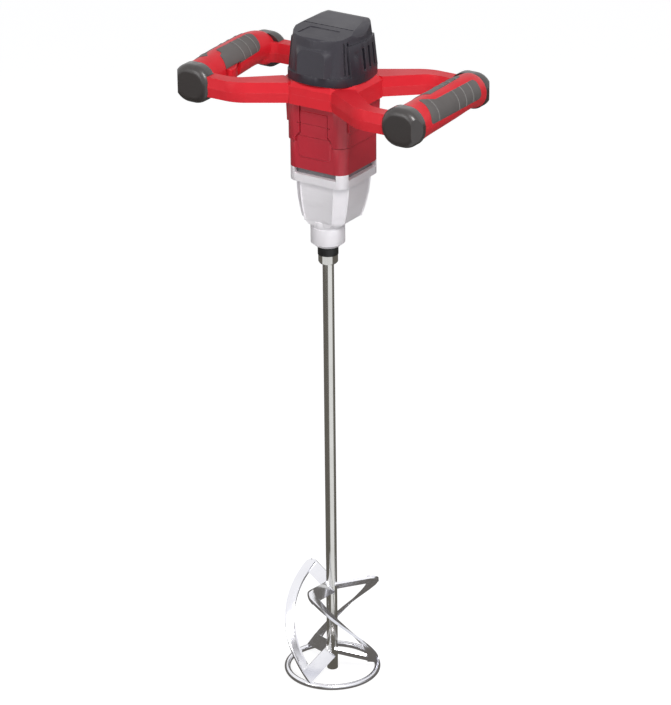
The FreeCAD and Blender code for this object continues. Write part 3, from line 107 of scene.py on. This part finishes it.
def new_group(name, inputs, outputs):
    """An empty shader node group with its inputs' first values and its outputs' kinds."""
    group = bpy.data.node_groups.new(name, "ShaderNodeTree")
    for label, first_value in inputs.items():
        kind = "NodeSocketColor" if isinstance(first_value, tuple) else "NodeSocketFloat"
        socket = group.interface.new_socket(label, in_out="INPUT", socket_type=kind)
        socket.default_value = first_value
    for label, kind in outputs.items():
        group.interface.new_socket(label, in_out="OUTPUT", socket_type=kind)
    return group, group.nodes.new("NodeGroupInput"), group.nodes.new("NodeGroupOutput")


def masked(group, shape, breakup, amount):
    """A mask that is a shape broken up by patches, at a given strength."""
    return math_node(group, "MULTIPLY", math_node(group, "MULTIPLY", shape, breakup), amount, True)


def make_edge_wear():
    """A mask of the sharp edges, from rounded against plain normals, broken up by noise: worn edges on most
    finishes, painted edge highlights on the cover.
    """
    flat_cosine, sharp_cosine = 0.995, 0.86
    patch_start, patch_end = 0.38, 0.62
    group, start, end = new_group("edge_wear_and_highlight", {"Reach": 0.0012, "Breakup": 220.0, "Amount": 0.6},
                                  {"Mask": "NodeSocketFloat"})
    plain = surface_normal(group)
    rounded = add(group, "ShaderNodeBevel", {"samples": 4}, Radius=start.outputs["Reach"]).outputs[0]
    turn = add(group, "ShaderNodeVectorMath", {"operation": "DOT_PRODUCT"}, i0=plain, i1=rounded)
    edge = spread(group, turn.outputs["Value"], flat_cosine, sharp_cosine)
    cloud = noise(group, object_place(group), start.outputs["Breakup"])
    patches = spread(group, cloud, patch_start, patch_end)
    group.links.new(masked(group, edge, patches, start.outputs["Amount"]), end.inputs["Mask"])
    return group


def make_rib_lines():
    """A painted highlight along the ribs of a grip, as a mask at their places along the bar, broken up by
    noise.
    """
    full_width_share = 0.45
    breakup_scale, breakup_start, breakup_end, faded_share = 60.0, 0.3, 0.55, 0.45
    inputs = {"Width": 0.0011, "Amount": 0.85}
    for label in rib_inputs:
        inputs[label] = far_off_the_bar
    group, start, end = new_group("rib_highlight_lines", inputs, {"Mask": "NodeSocketFloat"})
    place = object_place(group)
    along = add(group, "ShaderNodeSeparateXYZ", Vector=place).outputs["Y"]
    nearest = far_off_the_bar
    for label in rib_inputs:
        distance = math_node(group, "ABSOLUTE", math_node(group, "SUBTRACT", along, start.outputs[label]))
        nearest = math_node(group, "MINIMUM", nearest, distance)
    full_width = math_node(group, "MULTIPLY", start.outputs["Width"], full_width_share)
    line = spread(group, nearest, start.outputs["Width"], full_width)
    # Noise that breaks up the painted rib highlight.
    patchy_mask = spread(group, noise(group, place, breakup_scale), breakup_start, breakup_end, faded_share, 1.0)
    group.links.new(masked(group, line, patchy_mask, start.outputs["Amount"]), end.inputs["Mask"])
    return group


def make_mottle():
    """A colour that drifts to a second one in soft clouds."""
    cloud_detail, cloud_start, cloud_end = 4.0, 0.3, 0.7
    inputs = {"Colour": rgb(0.5, 0.5, 0.5), "Drift": rgb(0.4, 0.4, 0.4), "Scale": 20.0}
    group, start, end = new_group("mottle", inputs, {"Colour": "NodeSocketColor", "Cloud": "NodeSocketFloat"})
    clouds = noise(group, object_place(group), start.outputs["Scale"], cloud_detail)
    cloud = spread(group, clouds, cloud_start, cloud_end)
    mixed = colour_mix(group, cloud, start.outputs["Colour"], start.outputs["Drift"])
    group.links.new(mixed, end.inputs["Colour"])
    group.links.new(cloud, end.inputs["Cloud"])
    return group


def make_grain():
    """Moulded or blasted skin: fine and coarse grain as a height."""
    fine_detail, coarse_detail = 2.0, 3.0
    group, start, end = new_group("grain", {"Fine": 2400.0, "Coarse": 300.0, "Coarse share": 0.4},
                                  {"Height": "NodeSocketFloat"})
    place = object_place(group)
    fine = noise(group, place, start.outputs["Fine"], fine_detail)
    coarse = noise(group, place, start.outputs["Coarse"], coarse_detail)
    lifted = math_node(group, "MULTIPLY", coarse, start.outputs["Coarse share"])
    group.links.new(math_node(group, "ADD", fine, lifted), end.inputs["Height"])
    return group


def make_rubbing():
    """Fine lines left by turning, drawing or brushing, stretched along one axis, as a height and a mask."""
    line_detail, line_roughness, line_start, line_end = 3.0, 0.6, 0.35, 0.65
    group, start, end = new_group("rubbing", {"Across": 900.0, "Along": 12.0},
                                  {"Height": "NodeSocketFloat", "Mask": "NodeSocketFloat"})
    stretch = add(group, "ShaderNodeCombineXYZ", X=start.outputs["Across"], Y=start.outputs["Across"],
                  Z=start.outputs["Along"]).outputs[0]
    place = add(group, "ShaderNodeVectorMath", {"operation": "MULTIPLY"}, i0=object_place(group), i1=stretch)
    lines = noise(group, place.outputs[0], 1.0, line_detail, line_roughness)
    group.links.new(lines, end.inputs["Height"])
    group.links.new(spread(group, lines, line_start, line_end), end.inputs["Mask"])
    return group


def make_settled_dust():
    """Fine dust on faces that look up, thicker in clouds."""
    level_start, level_end = 0.25, 0.95
    cloud_detail, cloud_start, cloud_end = 5.0, 0.35, 0.75
    group, start, end = new_group("settled_dust", {"Amount": 0.2, "Scale": 30.0}, {"Mask": "NodeSocketFloat"})
    upward = add(group, "ShaderNodeSeparateXYZ", Vector=surface_normal(group)).outputs["Z"]
    facing = spread(group, upward, level_start, level_end)
    cloud = noise(group, object_place(group), start.outputs["Scale"], cloud_detail)
    clouds = spread(group, cloud, cloud_start, cloud_end)
    group.links.new(masked(group, facing, clouds, start.outputs["Amount"]), end.inputs["Mask"])
    return group


edge_wear_and_highlight = make_edge_wear()
rib_highlight_lines = make_rib_lines()
mottle = make_mottle()
grain = make_grain()
rubbing = make_rubbing()
settled_dust = make_settled_dust()


# Finishes

finishes = {}
cloud_scale = 18.0
coarse_grain_share = 0.4
dust_colour = rgb(0.55, 0.53, 0.5)


def place_group(tree, group, **values):
    node = tree.nodes.new("ShaderNodeGroup")
    node.node_tree = group
    for name, value in values.items():
        node.inputs[name.replace("_", " ")].default_value = value
    return node


def finish(name, colour, drift, worn_and_highlight_colour, roughness, metallic=0.0, wear_and_highlight=0.5, wear_and_highlight_reach=1.2, grain_height=0.02,
           fine=2400.0, coarse=300.0, lines=None, dust=0.1, coat=0.0, coat_roughness=0.1, specular=0.5):
    """A procedural finish: clouded colour, pale edges that are wear on most finishes and painted highlights
    on the cover, dust on top, and grain or drawn lines in the surface.
    roughness is its lowest and highest value, and grain_height and the reach of the pale edges are in
    millimetres."""
    material = bpy.data.materials.new(name)
    material.use_nodes = True
    tree = material.node_tree
    shader = tree.nodes["Principled BSDF"]
    clouds = place_group(tree, mottle, Colour=colour, Drift=drift, Scale=cloud_scale)
    # Pale edges: wear on most finishes, painted edge highlights on the cover.
    patchy_mask = place_group(tree, edge_wear_and_highlight, Reach=wear_and_highlight_reach * millimetre, Amount=wear_and_highlight)
    settled = place_group(tree, settled_dust, Amount=dust)
    base = colour_mix(tree, patchy_mask.outputs["Mask"], clouds.outputs["Colour"], worn_and_highlight_colour)
    base = colour_mix(tree, settled.outputs["Mask"], base, dust_colour)
    if lines:
        across, along = lines
        skin = place_group(tree, rubbing, Across=across, Along=along)
        drifting = skin.outputs["Mask"]
    else:
        skin = place_group(tree, grain, Fine=fine, Coarse=coarse, Coarse_share=coarse_grain_share)
        drifting = clouds.outputs["Cloud"]
    lowest, highest = roughness
    bump = add(tree, "ShaderNodeBump", Height=skin.outputs["Height"], Distance=grain_height * millimetre,
               Strength=1.0)
    feed(tree, shader.inputs["Base Color"], base)
    feed(tree, shader.inputs["Roughness"], spread(tree, drifting, 0.0, 1.0, lowest, highest))
    feed(tree, shader.inputs["Normal"], bump.outputs["Normal"])
    feed(tree, shader.inputs["Metallic"], metallic)
    feed(tree, shader.inputs["Coat Weight"], coat)
    feed(tree, shader.inputs["Coat Roughness"], coat_roughness)
    feed(tree, shader.inputs["Specular IOR Level"], specular)
    finishes[name] = material
    return material


def grip_finish(name, ribs):
    """Grip rubber with pale lines along the ribs that run round the bar, painted highlights on the raised
    ribs.
    """
    # The painted highlight colour of the rib lines.
    rib_highlight_colour = rgb(0.25, 0.24, 0.235)
    material = finish(name, colour=rgb(0.118, 0.107, 0.103), drift=rgb(0.1, 0.09, 0.087),
                      worn_and_highlight_colour=rgb(0.24, 0.22, 0.21), roughness=(0.5, 0.6), grain_height=0.04, fine=1100.0,
                      coarse=420.0, dust=0.03)
    tree = material.node_tree
    base_input = tree.nodes["Principled BSDF"].inputs["Base Color"]
    lines = place_group(tree, rib_highlight_lines)
    for label, rib in zip(rib_inputs, ribs):
        lines.inputs[label].default_value = rib * millimetre
    plain = base_input.links[0].from_socket
    feed(tree, base_input, colour_mix(tree, lines.outputs["Mask"], plain, rib_highlight_colour))


# The cover's pale edges are painted edge highlights.
finish("cover_plastic", colour=rgb(0.034, 0.031, 0.042), drift=rgb(0.029, 0.026, 0.036),
       worn_and_highlight_colour=rgb(0.13, 0.126, 0.135), roughness=(0.32, 0.4), fine=1500.0, dust=0.02, wear_and_highlight=0.55, wear_and_highlight_reach=1.4,
       specular=0.45)
finish("red_plastic", colour=rgb(0.76, 0.021, 0.034), drift=rgb(0.71, 0.017, 0.029),
       worn_and_highlight_colour=rgb(0.85, 0.15, 0.16), roughness=(0.36, 0.44), grain_height=0.012, fine=1800.0, dust=0.01,
       wear_and_highlight=0.3, specular=0.25)
finish("crimson_plastic", colour=rgb(0.52, 0.013, 0.032), drift=rgb(0.47, 0.011, 0.028),
       worn_and_highlight_colour=rgb(0.62, 0.1, 0.12), roughness=(0.34, 0.42), grain_height=0.012, fine=1800.0, dust=0.02,
       wear_and_highlight=0.3, coat=0.35, coat_roughness=0.28)
grip_finish("grip_rubber", outer_grip_ribs)
grip_finish("inner_grip_rubber", inner_grip_ribs)
finish("bumper_rubber", colour=rgb(0.032, 0.026, 0.025), drift=rgb(0.027, 0.022, 0.021),
       worn_and_highlight_colour=rgb(0.12, 0.105, 0.1), roughness=(0.36, 0.44), fine=1300.0, dust=0.02, wear_and_highlight=0.4, coat=0.5,
       coat_roughness=0.2)
finish("cast_aluminium", colour=rgb(0.92, 0.895, 0.925), drift=rgb(0.89, 0.865, 0.895),
       worn_and_highlight_colour=rgb(0.95, 0.95, 0.96), roughness=(0.34, 0.44), metallic=0.2, grain_height=0.04, fine=1200.0,
       coarse=260.0, dust=0.0, wear_and_highlight=0.6)
finish("dark_aluminium", colour=rgb(0.25, 0.25, 0.26), drift=rgb(0.2, 0.2, 0.21), worn_and_highlight_colour=rgb(0.55, 0.55, 0.56),
       roughness=(0.4, 0.55), metallic=1.0, grain_height=0.05, fine=1200.0, dust=0.0)
finish("black_steel", colour=rgb(0.012, 0.012, 0.013), drift=rgb(0.02, 0.02, 0.02), worn_and_highlight_colour=rgb(0.2, 0.2, 0.2),
       roughness=(0.32, 0.45), metallic=0.3, dust=0.05)
finish("polished_steel", colour=rgb(0.8, 0.79, 0.75), drift=rgb(0.74, 0.73, 0.69), worn_and_highlight_colour=rgb(0.88, 0.87, 0.84),
       roughness=(0.1, 0.18), metallic=1.0, grain_height=0.006, lines=(700.0, 10.0), dust=0.0)
finish("bright_plate", colour=rgb(0.88, 0.88, 0.92), drift=rgb(0.82, 0.82, 0.87), worn_and_highlight_colour=rgb(0.94, 0.94, 0.96),
       roughness=(0.14, 0.24), metallic=1.0, fine=500.0, coarse=120.0, dust=0.0)
finish("ground_steel", colour=rgb(0.58, 0.58, 0.59), drift=rgb(0.5, 0.5, 0.51), worn_and_highlight_colour=rgb(0.75, 0.75, 0.75),
       roughness=(0.25, 0.38), metallic=1.0, grain_height=0.008, lines=(30.0, 1500.0), dust=0.0)
finish("core_iron", colour=rgb(0.28, 0.28, 0.29), drift=rgb(0.2, 0.2, 0.21), worn_and_highlight_colour=rgb(0.45, 0.45, 0.45),
       roughness=(0.4, 0.55), metallic=1.0, grain_height=0.03, lines=(20.0, 2000.0), dust=0.0)
finish("copper", colour=rgb(0.7, 0.34, 0.16), drift=rgb(0.55, 0.22, 0.09), worn_and_highlight_colour=rgb(0.85, 0.5, 0.3),
       roughness=(0.28, 0.4), metallic=1.0, grain_height=0.05, lines=(40.0, 1100.0), dust=0.0)
finish("brush_brass", colour=rgb(0.72, 0.55, 0.25), drift=rgb(0.6, 0.44, 0.18), worn_and_highlight_colour=rgb(0.85, 0.7, 0.4),
       roughness=(0.3, 0.42), metallic=1.0, dust=0.0)
finish("black_plastic", colour=rgb(0.03, 0.03, 0.032), drift=rgb(0.024, 0.024, 0.025),
       worn_and_highlight_colour=rgb(0.1, 0.1, 0.1), roughness=(0.4, 0.55), grain_height=0.03, dust=0.05)


# CAD nodes: finishes and softened edges, with the rounding in millimetres

sides = ("left", "right")
own_finishes = {side + "_inner_grip": "inner_grip_rubber" for side in sides}
edge_rounding = {"motor_cover": 0.8, "frame_upper": 1.2, "frame_lower": 1.2, "motor_housing": 0.8,
                 "gearbox_housing": 0.8, "trigger": 1.0, "paddle_hex": 0.4, "spindle_collar": 0.4,
                 "paddle_shaft": 0.5}
edge_rounding.update({end + "_" + side + "_bumper": 0.6 for end in ("front", "rear") for side in sides})
edge_rounding.update({side + "_" + face + "_grip": 0.4 for face in ("outer", "inner") for side in sides})
edge_rounding.update({"paddle_blade_" + str(number): 0.5 for number in (1, 2, 3)})


def soften(piece, width):
    """Rounds the sharp edges of a kept node without touching its mesh."""
    merge_distance = 0.02
    flat_angle, sharp_angle = 0.6, 28.0
    weld = piece.modifiers.new("weld", "WELD")
    weld.merge_threshold = merge_distance * millimetre
    flat = piece.modifiers.new("flat faces", "DECIMATE")
    flat.decimate_type = "DISSOLVE"
    flat.angle_limit = math.radians(flat_angle)
    edges = piece.modifiers.new("soft edges", "BEVEL")
    edges.width = width * millimetre
    edges.segments = 3
    edges.limit_method = "ANGLE"
    edges.angle_limit = math.radians(sharp_angle)
    edges.miter_outer = "MITER_ARC"
    edges.use_clamp_overlap = True
    edges.harden_normals = True


for part in frame["record"]["subparts"]:
    piece = nodes[part["node"]]
    piece.data.materials.clear()
    piece.data.materials.append(finishes[own_finishes.get(part["node"], part["material_slot"])])

for node, width in edge_rounding.items():
    soften(nodes[node], width)


# Weld beads where the blades meet the shaft and the ring, in millimetres round the spindle axis

spindle_y = -16.0
shaft_radius = 8.0
blade_radius = 68.0
blade_width = 13.0
arm_width = 20.0
arm_thickness = 3.5
blade_angles = (28.4, 148.4, 268.4)
sweep_angle = 125.1
tip_height = 152.3
foot_height = 9.0
upper_root_height = 134.5
lower_root_height = 29.0
arm_weld_reach_angle = 56.0
arm_weld_steps = 24
ring_weld_radius = 65.2
ring_weld_height = 8.3
ring_weld_angle = sweep_angle - 2.0
ring_weld_reach_angle = 7.5
ring_weld_steps = 16
bead_radius = 1.15
bead_sides = 10
bead_ripples = 7
bead_ripple_share = 0.16
bead_end_share = 0.06
bead_fullness = 0.35


def swept(middle_angle, reach_angle, steps):
    """The turns along an arc about its middle, in radians."""
    middle, reach = math.radians(middle_angle), math.radians(reach_angle)
    return [middle + reach * (2.0 * i / steps - 1.0) for i in range(steps + 1)]


def outward_at(turn):
    return Vector((math.cos(turn), math.sin(turn), 0.0))


def blade_slope():
    """The blade's fall along its middle radius."""
    run = (blade_radius - blade_width / 2) * math.radians(sweep_angle)
    return math.atan((tip_height - foot_height) / run)


def arm_weld_lines(root_height, share):
    """The lines round the shaft where the two faces of a blade arm meet it. share is how far down the blade
    the arm joins it."""
    slope = blade_slope()
    arm_angle = sweep_angle * share
    outward = outward_at(math.radians(arm_angle))
    side_on = Vector((-outward.y, outward.x, 0.0))
    ahead = side_on * math.cos(slope) - Vector((0.0, 0.0, math.sin(slope)))
    root = outward * shaft_radius / 2 + Vector((0.0, 0.0, root_height))
    end_height = tip_height + (foot_height - tip_height) * share
    end = outward * blade_radius + Vector((0.0, 0.0, end_height))
    face = (end - root).cross(ahead).normalized()
    lines = []
    for side in (-1, 1):
        line = []
        for turn in swept(arm_angle, arm_weld_reach_angle, arm_weld_steps):
            spot = outward_at(turn) * shaft_radius
            drop = (face.x * (spot.x - root.x) + face.y * (spot.y - root.y)) / face.z
            spot.z = root_height - drop + side * arm_thickness / 2 / face.z
            line.append(spot)
        lines.append(line)
    return lines


def ring_weld_line():
    """The short line along the ring under a blade's foot."""
    rise = Vector((0.0, 0.0, ring_weld_height))
    turns = swept(ring_weld_angle, ring_weld_reach_angle, ring_weld_steps)
    return [outward_at(turn) * ring_weld_radius + rise for turn in turns]


def bead(line, points, faces):
    """Adds one rippled bead with thin ends along a line to a mesh's points and faces."""
    first = len(points)
    final = len(line) - 1
    for i, spot in enumerate(line):
        share = i / final
        ahead = (line[min(i + 1, final)] - line[max(i - 1, 0)]).normalized()
        across = ahead.cross(Vector((spot.x, spot.y, 0.0)).normalized()).normalized()
        outward = across.cross(ahead)
        ripple = 1.0 + bead_ripple_share * math.sin(2.0 * math.pi * bead_ripples * share)
        taper = math.sin(math.pi * (bead_end_share + (1.0 - 2.0 * bead_end_share) * share)) ** bead_fullness
        thickness = bead_radius * ripple * taper
        for k in range(bead_sides):
            turn = 2.0 * math.pi * k / bead_sides
            points.append(spot + (outward * math.cos(turn) + across * math.sin(turn)) * thickness)
    for i in range(final):
        here = first + i * bead_sides
        there = here + bead_sides
        for k in range(bead_sides):
            beside = (k + 1) % bead_sides
            faces.append((here + k, here + beside, there + beside, there + k))
    last = first + final * bead_sides
    faces.append(tuple(first + k for k in reversed(range(bead_sides))))
    faces.append(tuple(last + k for k in range(bead_sides)))


def make_weld_beads():
    length = (tip_height - foot_height) / math.sin(blade_slope())
    lines = [ring_weld_line()]
    lines += arm_weld_lines(upper_root_height, arm_width / 2 / length)
    lines += arm_weld_lines(lower_root_height, 1.0 - blade_width / 2 / length)
    points, faces = [], []
    for blade_angle in blade_angles:
        turn = Matrix.Rotation(math.radians(blade_angle), 3, "Z")
        for line in lines:
            bead([turn @ spot for spot in line], points, faces)
    spindle_axis = Vector((0.0, spindle_y, 0.0))
    mesh = bpy.data.meshes.new("weld_beads")
    mesh.from_pydata([(spot + spindle_axis) * millimetre for spot in points], [], faces)
    mesh.polygons.foreach_set("use_smooth", [True] * len(mesh.polygons))
    mesh.validate()
    beads = bpy.data.objects.new("weld_beads", mesh)
    bpy.context.collection.objects.link(beads)
    mesh.materials.append(finishes["bright_plate"])
    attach(beads, "spindle")


make_weld_beads()


# Floor, light and camera, in metres

floor_half = 6.0
floor_drop = 0.0005
floor_glow = 0.87
world_fill = 0.31


def seen_rays(tree):
    """One for rays from the camera, from gloss and through glass, nought for the rest."""
    path = tree.nodes.new("ShaderNodeLightPath")
    seen = math_node(tree, "MAXIMUM", path.outputs["Is Camera Ray"], path.outputs["Is Glossy Ray"])
    return math_node(tree, "MAXIMUM", seen, path.outputs["Is Transmission Ray"])


def bare_material(name):
    """A material with an empty node tree and its output."""
    material = bpy.data.materials.new(name)
    material.use_nodes = True
    tree = material.node_tree
    tree.nodes.clear()
    return material, tree, tree.nodes.new("ShaderNodeOutputMaterial")


def pale_surface(name):
    """A floor that is white to the camera and to reflections, and keeps the shadow."""
    material, tree, out = bare_material(name)
    matt = add(tree, "ShaderNodeBsdfDiffuse", Color=rgb(0.8, 0.8, 0.8))
    shaded = add(tree, "ShaderNodeBsdfDiffuse", Color=rgb(0.32, 0.32, 0.33))
    glow = add(tree, "ShaderNodeEmission", Color=rgb(1, 1, 1), Strength=floor_glow)
    white = add(tree, "ShaderNodeAddShader", i0=shaded.outputs[0], i1=glow.outputs[0])
    mixed = add(tree, "ShaderNodeMixShader", i0=seen_rays(tree), i1=matt.outputs[0], i2=white.outputs[0])
    tree.links.new(mixed.outputs[0], out.inputs["Surface"])
    return material


def make_floor():
    mesh = bpy.data.meshes.new("floor")
    corners = [(x * floor_half, y * floor_half, 0.0) for x, y in ((-1, -1), (1, -1), (1, 1), (-1, 1))]
    mesh.from_pydata(corners, [], [(0, 1, 2, 3)])
    floor = bpy.data.objects.new("floor", mesh)
    bpy.context.collection.objects.link(floor)
    mesh.materials.append(pale_surface("floor_white"))
    floor.location.z = -floor_drop


def make_world():
    world = bpy.data.worlds.new("studio")
    world.use_nodes = True
    tree = world.node_tree
    tree.nodes.clear()
    white = add(tree, "ShaderNodeBackground", Color=rgb(1, 1, 1), Strength=1.0)
    fill = add(tree, "ShaderNodeBackground", Color=rgb(0.96, 0.97, 1.0), Strength=world_fill)
    mixed = add(tree, "ShaderNodeMixShader", i0=seen_rays(tree), i1=fill.outputs[0], i2=white.outputs[0])
    out = tree.nodes.new("ShaderNodeOutputWorld")
    tree.links.new(mixed.outputs[0], out.inputs["Surface"])
    bpy.context.scene.world = world


def softbox(name, place, aim, width, height, power):
    light = bpy.data.lights.new(name, "AREA")
    light.shape = "RECTANGLE"
    light.size = width
    light.size_y = height
    light.energy = power
    lamp = bpy.data.objects.new(name, light)
    lamp.location = place
    lamp.rotation_euler = (Vector(aim) - Vector(place)).to_track_quat("-Z", "Y").to_euler()
    bpy.context.collection.objects.link(lamp)


# The dark mat that only reflections see, a glowing card that paints dark and pale reflections into the
# object, in metres and in degrees from the front to the right

mat_radius = 1.7
mat_middle_radius = 0.1
mat_fade_radius = 0.13
mat_rim = 0.55
mat_back_rim = 0.9
mat_steps = 120
gap_start_angle = 24.0
gap_end_angle = 94.0
gap_fade_angle = 14.0
mat_shade = rgb(0.14, 0.132, 0.12)
gap_shade = rgb(0.86, 0.87, 0.89)


def mat_darkness(turn_angle):
    """How dark the mat is in one direction: nought in the gap, and fading to one on both sides of it."""
    if turn_angle < gap_start_angle:
        away = gap_start_angle - turn_angle
    else:
        away = min(max(turn_angle - gap_end_angle, 0.0), gap_start_angle + 360.0 - turn_angle)
    share = min(away / gap_fade_angle, 1.0)
    return share * share * (3.0 - 2.0 * share)


def mat_material():
    material, tree, out = bare_material("dark_mat")
    shades = add(tree, "ShaderNodeVertexColor", {"layer_name": "tint"})
    # The mat glows in its own shades: painted dark and pale reflections.
    glow = add(tree, "ShaderNodeEmission", Color=shades.outputs["Color"], Strength=1.0)
    tree.links.new(glow.outputs[0], out.inputs["Surface"])
    return material


def make_dark_mat():
    """A dark mat with an upturned rim round the object, whole in the middle and with a pale gap beyond it: it
    glows and is seen only in reflections, as painted reflections.
    """
    points, darkness, faces = [(0.0, 0.0, 0.0)], [1.0], []
    for i in range(mat_steps):
        turn_angle = 360.0 * i / mat_steps
        dark = mat_darkness(turn_angle)
        x, y = math.sin(math.radians(turn_angle)), -math.cos(math.radians(turn_angle))
        top = mat_rim + (mat_back_rim - mat_rim) * max(0.0, y)
        rows = ((mat_middle_radius, 0.0, 1.0), (mat_fade_radius, 0.0, dark), (mat_radius, 0.0, dark),
                (mat_radius, top, dark))
        for reach, height, share in rows:
            points.append((x * reach, y * reach, height))
            darkness.append(share)
        here, there = len(rows) * i + 1, len(rows) * ((i + 1) % mat_steps) + 1
        faces.append((0, here, there))
        faces += [(here + k, here + k + 1, there + k + 1, there + k) for k in range(len(rows) - 1)]
    mesh = bpy.data.meshes.new("dark_mat")
    mesh.from_pydata(points, [], faces)
    tint = mesh.color_attributes.new("tint", "FLOAT_COLOR", "POINT")
    for spot, dark in zip(tint.data, darkness):
        spot.color = [pale + (deep - pale) * dark for deep, pale in zip(mat_shade, gap_shade)]
    mesh.materials.append(mat_material())
    mat = bpy.data.objects.new("dark_mat", mesh)
    bpy.context.collection.objects.link(mat)
    mat.visible_camera = False
    mat.visible_diffuse = False
    mat.visible_transmission = False
    mat.visible_shadow = False


# The camera stands where the photograph was taken from

camera_azimuth_angle = 33.49
camera_elevation_angle = 23.78
camera_roll_angle = -0.57
camera_aim = Vector((0.0, 0.0, 0.4974))
camera_distance = 4.741
camera_lens = 172.14
camera_sensor = 36.0
camera_far_end = 50.0


def make_camera():
    azimuth = math.radians(camera_azimuth_angle)
    elevation = math.radians(camera_elevation_angle)
    roll = math.radians(camera_roll_angle)
    back = Vector((math.sin(azimuth) * math.cos(elevation), -math.cos(azimuth) * math.cos(elevation),
                   math.sin(elevation)))
    level = Vector((math.cos(azimuth), math.sin(azimuth), 0.0))
    upright = back.cross(level)
    right = level * math.cos(roll) + upright * math.sin(roll)
    up = upright * math.cos(roll) - level * math.sin(roll)
    camera = bpy.data.objects.new("camera", bpy.data.cameras.new("camera"))
    camera.data.lens = camera_lens
    camera.data.sensor_width = camera_sensor
    camera.data.clip_end = camera_far_end
    camera.matrix_world = Matrix((right, up, back)).transposed().to_4x4()
    camera.location = camera_aim + back * camera_distance
    bpy.context.collection.objects.link(camera)
    bpy.context.scene.camera = camera


make_floor()
make_world()
make_dark_mat()
softbox("key", place=(1.75, -1.35, 2.9), aim=(0.0, 0.0, 0.75), width=1.2, height=1.2, power=62.0)
softbox("front_fill", place=(-0.9, -2.8, 1.7), aim=(0.0, 0.0, 0.8), width=1.2, height=1.6, power=17.0)
make_camera()
bpy.context.scene.view_settings.view_transform = "Standard"
